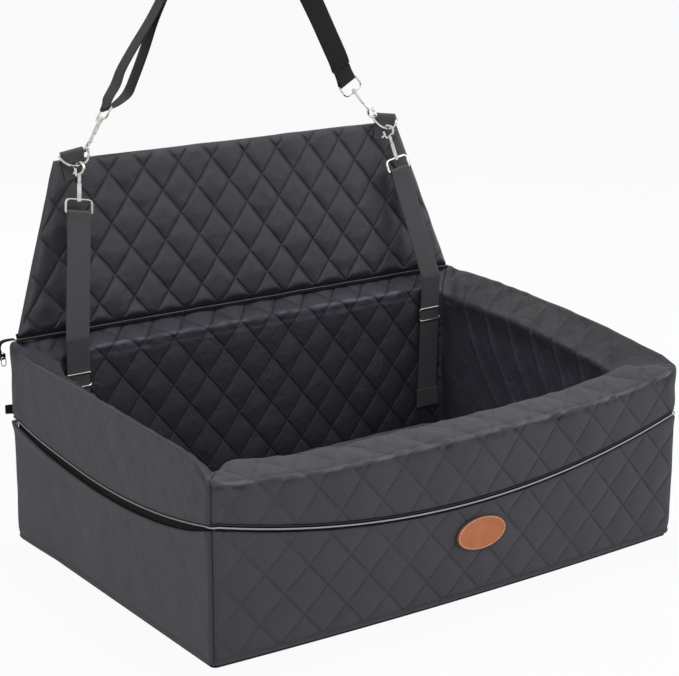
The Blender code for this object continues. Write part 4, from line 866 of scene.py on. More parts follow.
class Wall:
    """The columns of one side, from the middle of a corner to the middle of the next."""

    def __init__(self, side):
        start, end, steps = SIDES[side]
        share = np.linspace(0, 1, steps + 1)
        before, after = corner_pair(start, CORNER_SHARES), corner_pair(end, 1 - CORNER_SHARES[::-1])
        first, last = corner_pair(start, [1.0]), corner_pair(end, [0.0])
        straight = [mix(a, b, share[:, None]) for a, b in zip(first, last)]
        self.side = side
        self.on_side = side in ("left", "right")
        columns = (np.concatenate(parts) for parts in zip(before, straight, after))
        self.inner, self.outer, self.outward = columns
        edge = len(CORNER_SHARES)
        self.share = np.pad(share, edge, mode="edge")
        turned = np.concatenate([CORNER_SHARES - 0.5, np.full(steps + 1, 0.5), CORNER_SHARES[::-1] - 0.5])
        length = np.linalg.norm(last[1] - first[1])
        self.from_seam = turned * ARC_LENGTH + np.pad(np.minimum(share, 1 - share), edge) * length
        self.run = running(self.outer)
        self.outer = self.outer + self.spread()
        self.top = self.rim_heights()
        self.zip = self.zip_heights()
        self.bow = 1 - (2 * self.share - 1) ** 2 if side == "front" else np.zeros(len(self.share))
        # 1 on the front and 0 on the sides, changing round the corners
        seam = smooth(0.5 + self.from_seam / ARC_LENGTH)
        self.front = seam if side == "front" else np.where(self.outer[:, 1] < 0, 1 - seam, 0.0)

    def clear(self, reach):
        """0 at the corners' seams and 1 beyond a reach from them."""
        return smooth(self.from_seam / reach)

    def spread(self):
        total = np.zeros(self.outer.shape)
        for corner, way in CORNER_SPREADS:
            away = np.linalg.norm(self.outer - corner, axis=1)
            total += np.array(way) * smooth(1 - away / SPREAD_REACH)[:, None]
        return total

    def rim_heights(self):
        share = self.share
        if self.side == "front":
            sag = FRONT_RIM_SAG * (1 - (2 * share - 1) ** 4)
            return mix(FRONT_LEFT_HEIGHT, FRONT_RIGHT_HEIGHT, share) - sag
        if self.side == "right":
            rise = RIGHT_RIM_RISE * (4 * share * (1 - share))
            return mix(FRONT_RIGHT_HEIGHT, BACK_HEIGHT, share) + rise
        if self.side == "left":
            rear = (BACK_HEIGHT - LEFT_REAR_HEIGHT) * (1 - share) ** CORNER_RISE_POWER
            fore = (FRONT_LEFT_HEIGHT - LEFT_FORE_HEIGHT) * share ** CORNER_RISE_POWER
            return mix(LEFT_REAR_HEIGHT, LEFT_FORE_HEIGHT, share) + rear + fore
        return np.full(len(share), BACK_HEIGHT)

    def zip_heights(self):
        if self.side == "front":
            return ZIP_END_HEIGHT - ZIP_FRONT_SAG * (1 - (2 * self.share - 1) ** 2)
        if self.side == "back":
            return np.full(len(self.share), ZIP_END_HEIGHT)
        y = np.clip(self.outer[:, 1], -ZIP_HALF_CHORD, ZIP_HALF_CHORD)
        return ZIP_CENTRE - np.sqrt(ZIP_RADIUS ** 2 - y ** 2)

    def zip_edges(self):
        """How far above and below the zip's line the covers end."""
        gap = 0.0040 + 0.0072 * np.clip(1 - np.abs(self.outer[:, 1] / 0.275) ** 6, 0, 1)
        upper = mix(0.0013, 0.0030, self.front)
        lower = mix(0.0016 + gap, 0.0026, self.front)
        if self.side == "back":
            fade = self.clear(0.015)
            return mix(upper, 0.0004, fade), mix(lower, 0.0006, fade)
        return upper, lower

    def places(self, across, height, bulge, push=None):
        """Points of the wall in rows; across is 0 at the inner face and 1 at the outer one."""
        size = (len(height), len(self.share))
        across, height, bulge = (np.broadcast_to(a, size) for a in (across, height, bulge))
        out = FRONT_BULGE * self.bow * bulge
        plan = self.inner + (self.outer - self.inner) * across[..., None]
        places = np.concatenate([plan + self.outward * out[..., None], height[..., None]], axis=-1)
        if push is not None:
            rise = np.gradient(height, axis=0)
            reach = np.gradient(across * WALL + out, axis=0)
            length = np.hypot(rise, reach) + 1e-9
            places[..., :2] += self.outward * (rise / length * push)[..., None]
            places[..., 2] += -reach / length * push
        return places

    def level(self, places):
        """The level coordinate that a side's quilting is measured in."""
        if not self.on_side:
            return places[..., 0]
        return places[..., 1] + 0.62 if self.side == "right" else -places[..., 1] - 0.62

    def stitch_pull(self, places):
        """How hard the stitches pull: less towards the front's left end, and not evenly anywhere."""
        pull = 0.8 + 0.4 * noise(places, 0.10, 23)
        if self.side == "front":
            pull = pull * (0.45 + 0.55 * smooth((places[..., 0] + 0.40) / 0.22))
        return pull

    def maps(self, places, a, b, pad):
        """The maps of metres and of stitches; pad is how many plain rows lie before and after a and b."""
        metres = stacked(self.run, running(places))
        return metres, stacked(*(np.pad(values, (pad, (0, 0)), constant_values=0.5) for values in (a, b)))


# The rim's section from the outer face to the inner one: a share across the wall, and a height below
# the rim's highest line. The front rim is highest near its inner edge, the others near their outer faces,
# and the side rims fall away so steeply that they look thin.
FRONT_RIM = (
    (1.0, -0.0118), (0.990, -0.0101), (0.955, -0.0086), (0.84, -0.0072), (0.62, -0.0046), (0.40, -0.0020),
    (0.22, -0.0004), (0.11, -0.0002), (0.035, -0.0022), (0.006, -0.0070), (0.0, -0.0140), (0.0, -0.0230),
)
SIDE_RIM = (
    (1.0, -0.0104), (0.992, -0.0048), (0.962, -0.0012), (0.915, -0.0006), (0.82, -0.0050), (0.66, -0.0120),
    (0.48, -0.0190), (0.28, -0.0262), (0.12, -0.0320), (0.03, -0.0362), (0.0, -0.0410), (0.0, -0.0470),
)
BACK_RIM = (
    (1.0, -0.0104), (0.992, -0.0048), (0.962, -0.0014), (0.90, -0.0002), (0.78, -0.0014), (0.62, -0.0046),
    (0.44, -0.0082), (0.26, -0.0118), (0.11, -0.0152), (0.03, -0.0190), (0.0, -0.0240), (0.0, -0.0300),
)
RIM_STEPS = 3
RIM_TURN = 0.066
FOAM_FRONT_TOP = 0.230
FOAM_BACK_TOP = 0.2735
FOAM_HALF_DEPTH = 0.268
OVER_FOAM = 0.0035


def rim_sections(wall):
    """The section for each column: shares across and drops, in rows from the outer face inwards."""
    sections = []
    for pairs in (SIDE_RIM, FRONT_RIM, BACK_RIM):
        curve = smooth_line([Vector(pair) for pair in pairs], RIM_STEPS)
        sections.append(np.array([tuple(point) for point in curve])[:, None])
    side_line, front_line, back_line = sections
    own = smooth(0.5 + wall.from_seam / RIM_TURN)
    rear = wall.outer[:, 1] > 0
    front = {"front": own, "back": 0 * own}.get(wall.side, (1 - own) * ~rear)[:, None]
    back = {"back": own, "front": 0 * own}.get(wall.side, (1 - own) * rear)[:, None]
    section = side_line * (1 - front - back) + front_line * front + back_line * back
    across, drop = section[..., 0], section[..., 1]
    y = wall.inner[:, 1] + (wall.outer - wall.inner)[:, 1] * across
    share = np.clip((y + FOAM_HALF_DEPTH) / (2 * FOAM_HALF_DEPTH), 0, 1)
    lowest = mix(FOAM_FRONT_TOP, FOAM_BACK_TOP, share) + OVER_FOAM - wall.top
    soft = lowest + np.logaddexp(0, (drop - lowest) / 0.002) * 0.002
    return across, np.where(across > 0.07, soft, drop)


# The lattice, the relief and the depth of stitching of each panel
OUTER_QUILTS = {"front": ("front_high", 0.0028, 1.0), "back": ("front_high", 0.0016, 0.8),
                "left": ("front_high", 0.0006, 0.34), "right": ("front_high", 0.0006, 0.34)}
INNER_QUILTS = {"front": ("inner", 0.0028, 1.0), "back": ("inner", 0.0044, 1.0),
                "left": ("inner", 0.0008, 0.3), "right": ("inner", 0.0008, 0.3)}
LOWER_QUILTS = {"front": ("front_low", 0.0028, 1.0), "back": ("front_low", 0.0016, 0.7),
                "left": ("front_low", 0.0003, 0.22), "right": ("front_low", 0.0003, 0.22)}

RIB_HEIGHT = 0.0026
RIB_BREADTH = 0.0022
RIB_STARTS = (0.0105, -0.043, -0.0975, 0.066, 0.121, 0.176)
PUCKER_SIZE = 0.0085
SEAM_SINK = 0.0030
TETHER_X = 0.330
# Shares up the outer panel, closer together at its edges, and down the inner one
OUTER_ROWS = np.concatenate([[0.0, 0.012, 0.03], np.linspace(0.055, 0.945, 24), [0.97, 0.988]])[:, None]
INNER_ROWS = np.concatenate([np.linspace(0.012, 0.05, 3), np.linspace(0.075, 1, 36)])[:, None]
INNER_FOOT = 0.058
BACK_CREASE = 0.013
# Rows of the band that lie outside the edge between the two cloths
CREST_ROW = 9
FRONT_CREST_FROM_END = 5


def rib_height(places):
    """Sewn ribs on the inner faces of the side walls."""
    y, z = places[..., 1], places[..., 2]
    drop = 0.3 - z
    lines = [start - 0.2 * drop - 2 * drop ** 2 for start in RIB_STARTS] + [-0.163 - 0.1 * drop]
    return np.max([hump(y - line, RIB_BREADTH) for line in lines], axis=0) * smooth((z - 0.07) / 0.03)


def seam_push(wall):
    return SEAM_SINK * hump(wall.from_seam, 0.0013) * (0.5 if wall.side == "back" else 1.0)


def crease_push(pucker, distance):
    """The puckered edge between the front and its band."""
    return (0.0014 + 0.0027 * pucker) * hump(distance, 0.0030)


def puckers(places):
    """Short folds along an edge."""
    return noise(places * [1, 1, 0.15], PUCKER_SIZE, 3)


def painted_highlight_streaks(places):
    """Where a painted highlight along an edge shows, and where it is broken."""
    return smooth(0.5 + 0.9 * noise(places * [1, 1, 0.3], 0.014, 19))


def outer_panel(wall, low, crease):
    """The outer face, from the zip up to the crease.

    Each panel gives rows of: across, height, bulge, push, the two lattice values, quilted and pale, which
    is painted light and shade.
    """
    height, bulge = mix(low, crease, OUTER_ROWS), 1 - 0.5 * OUTER_ROWS
    places = wall.places(1.0, height, bulge)
    name, relief, depth = OUTER_QUILTS[wall.side]
    a, b = lattice(wall.level(places), height, name)
    above, below = height - low, crease - height
    edge = np.minimum(above, below)
    fade = smooth(above / 0.010) * wall.clear(0.02)
    fade = fade * mix(smooth(below / 0.010), 0.85 + 0.15 * smooth(below / 0.010), wall.front)
    pucker = puckers(places)
    push = relief * (puff(a, b) - 1) * fade - relief * 0.5 * (1 - fade)
    push += (noise(places, 0.075, 4) * 0.0018 + noise(places, 0.028, 5) * 0.0010) * smooth(edge / 0.03)
    gather = noise(places * [1, 1, 0.5], 0.013, 17) * 0.0011 * hump(wall.from_seam, 0.05)
    push += gather * smooth(edge / 0.01)
    push -= 0.0026 * hump(above, 0.0024)
    push -= 0.0016 * hump(height - wall.zip - 0.0085, 0.0014) * (1 - wall.front)
    push += crease_push(pucker, below) * wall.front
    push -= 0.0034 * hump(below - 0.0070, 0.0030) * (0.6 + 0.8 * pucker) * wall.front
    push -= seam_push(wall)
    # A painted highlight along the front's crease, broken in places.
    pale = 1.5 * hump(below, 0.0018) * wall.front * painted_highlight_streaks(places)
    return 1.0, height, bulge, push, a, b, depth * smooth(edge / 0.004) * wall.stitch_pull(places), pale


def band_panel(wall, across, drop, crease, lip):
    """The padded band over the wall's top, from the crease in to the lip over the well."""
    height, bulge = wall.top + drop, 0.5 * across
    places = wall.places(across, height, bulge)
    run = running(places)
    to_lip = run[-1] - run
    if wall.side == "front":
        name, relief, depth = OUTER_QUILTS["front"]
        relief, depth = 0.85 * relief, 0.5 * depth
        a, b = lattice(wall.level(places), crease + run, name)
        fade = wall.clear(0.02) * smooth((across - 0.02) / 0.1)
    else:
        name, relief, depth = INNER_QUILTS[wall.side]
        a, b = lattice(wall.level(places), lip + to_lip, name)
        fade = wall.clear(0.03) * smooth((0.86 - across) / 0.1)
    pucker = puckers(places)
    wrinkle = noise(places * [1, 0.6, 0.3], 0.0105, 6) * 0.0013 + noise(places, 0.035, 7) * 0.0020
    push = wrinkle * smooth((across + 0.05) / 0.2) * mix(0.45, 1.0, wall.front)
    push += noise(places * [1, 1, 0.4], 0.013, 18) * 0.0042 * hump(wall.from_seam, 0.032)
    push += relief * (puff(a, b) - 0.7) * fade - seam_push(wall)
    push += crease_push(pucker, run) * wall.front
    push -= 0.0012 * hump(run - 0.006, 0.0026) * wall.front
    # A painted highlight along the front's crease, on the band's side.
    pale = hump(run, 0.0022) * wall.front
    if wall.side == "back":
        from_crease = to_lip - BACK_CREASE
        push += (0.0014 + 0.0028 * pucker) * hump(from_crease, 0.005)
        # On the back, a painted highlight along the crease near the lip.
        pale = 1.1 * hump(from_crease, 0.003)
    pale = pale * painted_highlight_streaks(places)
    if wall.on_side:
        ribs = rib_height(places)
        push += RIB_HEIGHT * ribs * smooth((0.84 - across) / 0.25) * wall.clear(0.06)
        # On the side bands: painted shade that darkens the band, and painted highlights on the ribs' tops.
        shade = smooth((0.96 - across) / 0.12) * smooth(0.15 + across / 0.4) * wall.clear(0.09)
        pale += -0.31 * shade + 0.25 * ribs ** 6 * smooth((0.8 - across) / 0.2)
    return across, height, bulge, push, a, b, depth * fade, pale


def inner_panel(wall, lip):
    """The inner face, from the lip down to the mattress."""
    height = mix(lip, INNER_FOOT, INNER_ROWS)
    places = wall.places(0.0, height, 0.0)
    name, relief, depth = INNER_QUILTS[wall.side]
    a, b = lattice(wall.level(places), height, name)
    under = lip - height
    fade = smooth((under + 0.004) / 0.012) * wall.clear(0.06)
    push = relief * (puff(a, b) - 0.55) * fade
    if not wall.on_side:
        pucker = noise(places * [1, 1, 0.12], PUCKER_SIZE, 8)
        push += (0.0008 + 0.0010 * pucker) * hump(under - 0.002, 0.0050)
    push += noise(places, 0.06, 9) * 0.0016 * smooth(under / 0.03)
    push += noise(places * [1, 1, 0.35], 0.018, 10) * 0.0022 * hump(wall.from_seam, 0.055)
    pale = 0.0
    if wall.side == "back":
        pressed = smooth(1.6 - np.abs(np.abs(places[..., 0]) - TETHER_X) / 0.020)
        push = mix(push, np.minimum(push, -0.0012), pressed)
    if wall.on_side:
        ribs = rib_height(places)
        push += RIB_HEIGHT * ribs
        # Painted light on the side walls' inner faces, slightly darker just under the lip, and painted
        # highlights on the ribs' tops.
        pale = mix(-0.02, 0.42, smooth(under / 0.04)) * wall.clear(0.09)
        pale = pale + 0.7 * ribs ** 6 * smooth(under / 0.03)
    return 0.0, height, 0.0, push, a, b, depth, pale


def upper_side(wall, outside, inside):
    """One side of the upper cover: the outer panel, the rim's band and the inner panel."""
    low = wall.zip + wall.zip_edges()[0]
    across, drop = rim_sections(wall)
    crease, lip = wall.top + drop[0], wall.top + drop[-1]
    panels = (outer_panel(wall, low, crease), band_panel(wall, across, drop, crease, lip),
              inner_panel(wall, lip))
    panels = [[np.broadcast_to(values, panel[1].shape) for values in panel] for panel in panels]
    across, height, bulge, push, a, b, quilted, pale = (np.concatenate(parts) for parts in zip(*panels))
    hidden = wall.places(np.array([[0.86], [0.93], [0.985]]),
                         np.stack([low + 0.004, low + 0.0006, low - 0.0001]), 1.0)
    foot = wall.places(0.0, np.full((1, len(low)), WALL_FOOT), 0.0)
    places = np.concatenate([hidden, wall.places(across, height, bulge, push), foot])
    rows = (len(hidden), len(foot))
    shades = (np.pad(values, (rows, (0, 0))) for values in (quilted, pale))
    maps = (places, *wall.maps(places, a, b, rows), *shades)
    crest = len(drop) - FRONT_CREST_FROM_END if wall.side == "front" else CREST_ROW
    split = len(hidden) + len(OUTER_ROWS) + crest
    outside.grid(*(values[:split + 1] for values in maps))
    inside.grid(*(values[split:] for values in maps))


def make_upper_cover(walls):
    outside, inside = Sheet(), Sheet()
    for wall in walls.values():
        upper_side(wall, outside, inside)
    outer = settle(outside, "upper_cover_outside", "cover", "root", "cover", "upper_cover")
    inner = settle(inside, "upper_cover_inside", "inner", "root", "cover")


LOWER_ROWS = np.concatenate([np.linspace(0, 0.94, 34), [0.965, 0.985, 0.995]])[:, None]
LOWER_START = 0.011


def lower_side(wall, sheet):
    """One side of the lower cover, from under the box to the edge beside the zip."""
    top = wall.zip - wall.zip_edges()[1]
    height = mix(LOWER_START, top, LOWER_ROWS)
    outer = wall.places(1.0, height, 1.0)
    name, relief, depth = LOWER_QUILTS[wall.side]
    a, b = lattice(wall.level(outer), height, name)
    above, below = height - 0.004, top - height
    edge = np.minimum(above, below)
    fade = smooth(edge / 0.014) * wall.clear(0.02)
    side = 0 * wall.front if wall.side == "back" else 1 - wall.front
    push = relief * (puff(a, b) - 1) * fade - relief * 0.6 * (1 - fade)
    push += (noise(outer, 0.085, 14) * 0.0018 + noise(outer, 0.03, 15) * 0.0007) * smooth(edge / 0.03)
    push -= 0.0026 * hump(below, 0.0030) * (1 - side)
    push += (0.0024 + 0.0009 * noise(outer, 0.03, 16)) * hump(below, 0.010) * side
    push -= SEAM_SINK * hump(wall.from_seam, 0.0016)
    push -= 0.0030 * hump(above, 0.010)
    foot = wall.places(np.array([[0.80], [0.90], [0.955], [0.982]]),
                       np.array([[BOTTOM], [BOTTOM + 0.0002], [0.0036], [0.0068]]), 1.0)
    lip = wall.places(np.array([[0.975], [0.94], [0.90]]),
                      np.stack([top - 0.0001, top - 0.0008, top - 0.006]), 1.0)
    lip[..., :2] += wall.outward * (0.0018 * side)[:, None]
    places = np.concatenate([foot, wall.places(1.0, height, 1.0, push), lip])
    rows = (len(foot), len(lip))
    quilted = np.pad(depth * smooth(edge / 0.008) * wall.stitch_pull(outer), (rows, (0, 0)))
    return sheet.grid(places, *wall.maps(places, a, b, rows), quilted)[0]


def make_lower_cover(walls):
    sheet = Sheet()
    rims = [lower_side(wall, sheet) for wall in walls.values()]
    sheet.caps.append(np.concatenate([rim[:-1] for rim in rims])[::-1])
    cover = settle(sheet, "lower_cover_shell", "cover", "root", "cover", "lower_cover")


# Zips

SIDE_TAPE_ACROSS = np.array([0.948, 0.950, 0.952, 0.952, 0.950, 0.948])[:, None]
SIDE_TAPE_RISES = np.array([0, 0.005, 0.01, 0.013, 0.018, 0.03])[:, None]
# The loose ends of the side zip's tape, in plan, on the right; the left ones are mirrored
SIDE_END_PLAN = ((0.404, 0.272), (0.411, 0.2785), (0.4175, 0.2830), (0.4215, 0.2845), (0.4200, 0.2872),
                 (0.409, 0.2850))


def make_side_zip(walls):
    """The dark tapes behind the slit, the coil that runs along it, and the tapes' ends."""
    places, line, outward, front = [], [], [], []
    for side in ("left", "front", "right"):
        wall = walls[side]
        upper, lower = wall.zip_edges()
        height = np.stack([wall.zip + upper + 0.005, wall.zip + upper, wall.zip + 0.0008, wall.zip - 0.0008,
                           wall.zip - lower, wall.zip - lower - 0.006])
        places.append(wall.places(SIDE_TAPE_ACROSS, height, 1.0)[:, :-1])
        line.append(wall.places(1.0, wall.zip[None], 1.0)[0, :-1])
        outward.append(wall.outward[:-1])
        front.append(wall.front[:-1])
    line, outward, front = (np.concatenate(parts) for parts in (line, outward, front))
    sheet = Sheet()
    # The tapes behind the slit are black, and their near-black tone is also painted shade in the slit.
    sheet.grid(np.concatenate(places, axis=1), stacked(running(line), SIDE_TAPE_RISES), flip=True)
    settle(sheet, "side_zip_tape", "tape", "root", "zip")
    proud = mix(-0.0010, 0.0006, front)[:, None]
    points = [Vector(place) for place in line + np.pad(outward * proud, ((0, 0), (0, 1)))]
    sheet = Sheet()
    # Its near-white colour is a painted highlight along the coil.
    tube(sheet, points, mix(0.0008, 0.0011, front).tolist(), UP, sides=8)
    settle(sheet, "side_zip_coil", "coil", "root", "zip", "side_zip")
    sheet = Sheet()
    for sign in (-1, 1):
        fold = [Vector((sign * x, y, ZIP_END_HEIGHT + 0.0105)) for x, y in SIDE_END_PLAN]
        ribbon(sheet, smooth_line(fold, 4), UP, width=0.013, thickness=0.0018)
    settle(sheet, "side_zip_ends", "tape", "root", "zip")


FLAP_END_PROFILE = ((0.016, 0.0), (0.004, 0.0004), (-0.003, -0.0006), (-0.0072, -0.004), (-0.0086, -0.010),
                    (-0.0076, -0.016), (-0.0088, -0.022), (-0.0080, -0.028))
FLAP_TAPE_PROFILE = ((-0.0056, -0.0026), (-0.0040, -0.0018), (-0.0020, -0.0010), (0.0, -0.0016),
                     (0.0020, -0.0010), (0.0045, -0.0018), (0.0070, -0.0026))
FLAP_WELT_PROFILE = ((0.0012, -0.0014), (0.0016, 0.0002), (0.0022, 0.0020), (0.0030, 0.0045),
                     (0.0036, 0.0080))
FLAP_WELT_RISES = np.array([0, 0.0016, 0.0035, 0.006, 0.0095])[:, None]


def make_flap_zip():
    """The coil along the flap's foot, the end that turns down at the box's corner, and the dark tapes."""
    start = Vector((FLAP_FOOT_HALF, HINGE_Y, HINGE_HEIGHT))
    corner = Vector((-BOX_WIDTH / 2 - 0.013, HINGE_Y, HINGE_HEIGHT))
    points = [start.lerp(corner, k / 120) for k in range(120)]
    points = refine(points + [corner + Vector((0.003, 0, 0))], 0.007)
    waves = noise(np.array([tuple(p) for p in points]) * [1, 1, 0], 0.035, 22)
    points = [p + Vector((0, 0, 0.0007 * float(w) * (abs(p.x) < 0.40))) for p, w in zip(points, waves)]
    sheet = Sheet()
    # Its pale colour is a painted highlight along the coil.
    tube(sheet, points, 0.00055, BACKWARD, sides=8)
    settle(sheet, "flap_zip_coil", "flap_coil_painted_highlight", "root", "zip", "flap_zip")
    stub = [corner + Vector((x, 0.0065, z - 0.0006)) for x, z in FLAP_END_PROFILE]
    sheet = Sheet()
    ribbon(sheet, smooth_line(stub, 5), BACKWARD, width=0.008, thickness=0.0022)
    settle(sheet, "flap_zip_end", "tape", "root", "zip")
    x = np.linspace(-0.408, 0.404, 160)
    rows = []
    for y, z in FLAP_TAPE_PROFILE:
        place = stacked(x, HINGE_Y + y, HINGE_HEIGHT + z)
        place[:, 2] += 0.0004 * noise(place, 0.02, 21) * (abs(y) > 0.004)
        rows.append(place)
    sheet = Sheet()
    sheet.grid(rows, stacked(x, np.array(FLAP_TAPE_PROFILE)[:, :1]))
    settle(sheet, "flap_zip_tape", "tape", "root", "zip")
    sheet = Sheet()
    sheet.grid([to_flap(x * 0.993, y, v) for y, v in FLAP_WELT_PROFILE], stacked(x, FLAP_WELT_RISES))
    settle(sheet, "flap_zip_welt", "tape", "flap", "zip")


# Flap

FLAP_ENDS = np.array([0.0, 0.0022, 0.005, 0.009, 0.014])
FLAP_EDGE_ROUND = 0.0058


def flap_grid(columns, rows):
    """Places across and up the flap, closer together at its edges."""
    across = np.concatenate([FLAP_ENDS, np.linspace(0.019, 0.981, columns), 1 - FLAP_ENDS[::-1]])
    up = np.concatenate([FLAP_ENDS * 3, np.linspace(0.055, 0.945, rows), 1 - FLAP_ENDS[::-1] * 3])
    v = mix(FLAP_LOW, FLAP_HIGH, up)[:, None]
    half = FLAP_FOOT_HALF - FLAP_SLOPE * v
    u = (2 * across - 1) * half
    v = np.broadcast_to(v, u.shape)
    side = (half - np.abs(u)) / math.hypot(1, FLAP_SLOPE)
    edge = np.minimum(side, np.minimum(v - FLAP_LOW, FLAP_HIGH - v))
    flat = stacked(u, 0.0, v)
    sunk, sunk_top = (0.0006 + 0.0010 * noise(flat, 0.028, seed) for seed in (31, 32))
    u = u - np.sign(u) * sunk * smooth(1 - edge / 0.03) * (side < 0.03)
    v = v - sunk_top * smooth(1 - (FLAP_HIGH - v) / 0.03)
    return u, v, edge, flat


def to_flap(u, y, v):
    matrix = flap_matrix()
    return stacked(u, y, v) @ np.array(matrix.to_3x3()).T + np.array(matrix.translation)


def flap_face(y, edge):
    """The face's depth, falling back to the middle at its round edge."""
    share = np.clip(1 - edge / FLAP_EDGE_ROUND, 0, 1)
    return mix(y, FLAP_MIDDLE, 1 - np.sqrt(np.clip(1 - share ** 2, 0, 1)))


def make_flap():
    u, v, edge, flat = flap_grid(232, 74)
    a, b = lattice(u, v, "flap")
    fade = smooth((edge - 0.001) / 0.009)
    height = 0.0046 * puff(a, b) ** 0.9 * fade
    height += noise(flat, 0.05, 33) * 0.0009 * fade
    height += noise(flat * [1, 1, 0.35], 0.011, 34) * 0.0011 * hump(v - FLAP_LOW, 0.020)
    height += noise(flat, 0.016, 35) * 0.0009 * fade
    height += noise(flat * [1, 1, 0.4], 0.012, 36) * 0.0009 * hump(edge - 0.006, 0.008)
    face = to_flap(u, flap_face(FLAP_FRONT + 0.0034 - height, edge), v)
    sheet = Sheet()
    sheet.grid(face, stacked(u, v), stacked(a, b), smooth((edge - 0.002) / 0.006))
    front = settle(sheet, "flap_quilting", "quilt", "flap", "quilt", "flap_front_cover")
    y = FLAP_BACK - 0.0004 + noise(flat, 0.07, 37) * 0.0006 + noise(flat, 0.02, 38) * 0.0003
    sheet = Sheet()
    sheet.grid(to_flap(u, flap_face(y, edge), v), stacked(u, v), flip=True)
    settle(sheet, "flap_backing", "cover", "flap", "cover", "flap_back_cover")


# Mattress

MATTRESS_HALF = (0.357, 0.227)
MATTRESS_RADIUS = 0.040
MATTRESS_HEIGHT = 0.062
MATTRESS_SIDE = 0.048
MATTRESS_DRAWN_IN = 0.006
# Shares up the side from its foot, and how far it swells there
MATTRESS_SWELLS = ((0.92, 0.0016), (0.75, 0.0022), (0.5, 0.0026), (0.25, 0.0022), (0.08, 0.0002),
                   (0.0, -0.006))


def mattress_plan(xs, ys):
    """Squeezes a square grid into a plan with round corners and drawn-in sides."""
    shares = (xs, ys)
    over = [np.abs(share * half) - (half - MATTRESS_RADIUS) for share, half in zip(shares, MATTRESS_HALF)]
    both = (over[0] > 0) & (over[1] > 0)
    squeeze = np.maximum(*over) / (np.hypot(*over) + 1e-9)
    plan = []
    for k, half in enumerate(MATTRESS_HALF):
        own, other = shares[k], shares[1 - k]
        place = own * half
        place = np.where(both, np.sign(place) * (half - MATTRESS_RADIUS + over[k] * squeeze), place)
        plan.append(place - np.sign(place) * MATTRESS_DRAWN_IN * (1 - other ** 2) * own ** 4)
    return plan


def make_mattress():
    """A crowned cushion with quilted diamonds, gathered at its piped edge."""
    quarter = math.pi / 2 * 0.8
    turns = (np.linspace(-1, 1, count) * quarter for count in (150, 100))
    line_x, line_y = (np.sin(turn) / math.sin(quarter) for turn in turns)
    xs, ys = np.meshgrid(line_x, line_y)
    x, y = mattress_plan(xs, ys)
    crown = (MATTRESS_HEIGHT - MATTRESS_SIDE) * ((1 - np.abs(xs) ** 6) * (1 - np.abs(ys) ** 6)) ** 0.5
    edge = np.minimum((1 - np.abs(xs)) * MATTRESS_HALF[0], (1 - np.abs(ys)) * MATTRESS_HALF[1])
    flat = stacked(x, y, 0.0)
    a, b = lattice(x, y, "inner")
    fade = smooth((edge - 0.012) / 0.03)
    z = WALL_FOOT + MATTRESS_SIDE + crown + 0.0045 * (puff(a, b) - 1) * fade
    gathers = noise(flat, 0.014, 42) * 0.0016 * hump(edge - 0.010, 0.010)
    z = z + noise(flat, 0.06, 41) * 0.0016 * fade + gathers
    sheet = Sheet()
    index = sheet.grid(stacked(x, y, z), stacked(x, y), stacked(a, b), smooth((edge - 0.02) / 0.015))
    rim_index = np.concatenate([index[0, :-1], index[:-1, -1], index[-1, :0:-1], index[:0:-1, 0]])
    rim = np.concatenate(sheet.places)[rim_index]
    out = rim[:, :2] / np.linalg.norm(rim[:, :2], axis=1)[:, None]
    rows, heights = [rim], [0.0]
    for share, swell in MATTRESS_SWELLS:
        row = rim.copy()
        fold = noise(rim * [1, 1, 0], 0.02, 43) * 0.0006 * math.sin(math.pi * share)
        row[:, :2] += out * (swell + fold)[:, None]
        row[:, 2] = WALL_FOOT + MATTRESS_SIDE * share
        rows.append(row)
        heights.append(1 - share)
    metres = stacked(running(rim[:, :2]), np.array(heights)[:, None] * MATTRESS_SIDE)
    side = sheet.grid(rows, metres, closed=True, flip=True)
    sheet.caps.append(side[-1, :-1][::-1])
    cushion = settle(sheet, "mattress_cushion", "lining", "root", "lining", "mattress")
    sheet = Sheet()
    line = [Vector(p) + Vector((*(o * 0.0006), 0.0004)) for p, o in zip(rim, out)][::2]
    tube(sheet, line, 0.0022, UP, closed=True, sides=8)
    settle(sheet, "mattress_piping", "tape", "root", "lining")


# Straps, tabs and patches

TETHER_EDGE = (0.222, 0.3165)
TETHER_ON_WALL = 0.230 - GAP - WEBBING_THICKNESS / 2
TETHER_ADJUSTER_HEIGHT = 0.252
ANCHOR_MARGIN = 0.004
# Length, gap and radius of the stitches
ANCHOR_STITCH = (0.0026, 0.0009, 0.00035)
BADGE_STITCH = (0.0034, 0.0014, 0.00062)


def make_tab(side, sign):
    """A webbing loop over the ring's bar, sewn to the flap's front."""
    radius = RING_RADIUS + GAP + WEBBING_THICKNESS / 2
    sewn = radius - WEBBING_THICKNESS - 2 * GAP
    base = ring_base_matrix(sign)
    turns = [math.pi * k / 12 for k in range(13)]
    points = [Vector((0, radius, -0.040)), Vector((0, radius, -radius))]
    points += [Vector((0, math.cos(turn), math.sin(turn))) * radius for turn in turns]
    points += [Vector((0, -radius, -radius)), Vector((0, sewn, -0.012)), Vector((0, sewn, -0.014 - radius))]
    points = [base @ (point + Vector((sign * 0.0025, 0, 0))) for point in refine(points, 0.006)]
    sheet = Sheet()
    ribbon(sheet, points, base.to_3x3().col[0].copy())
    settle(sheet, side + "_tab", "webbing", "flap", "webbing", side + "_ring_tab")


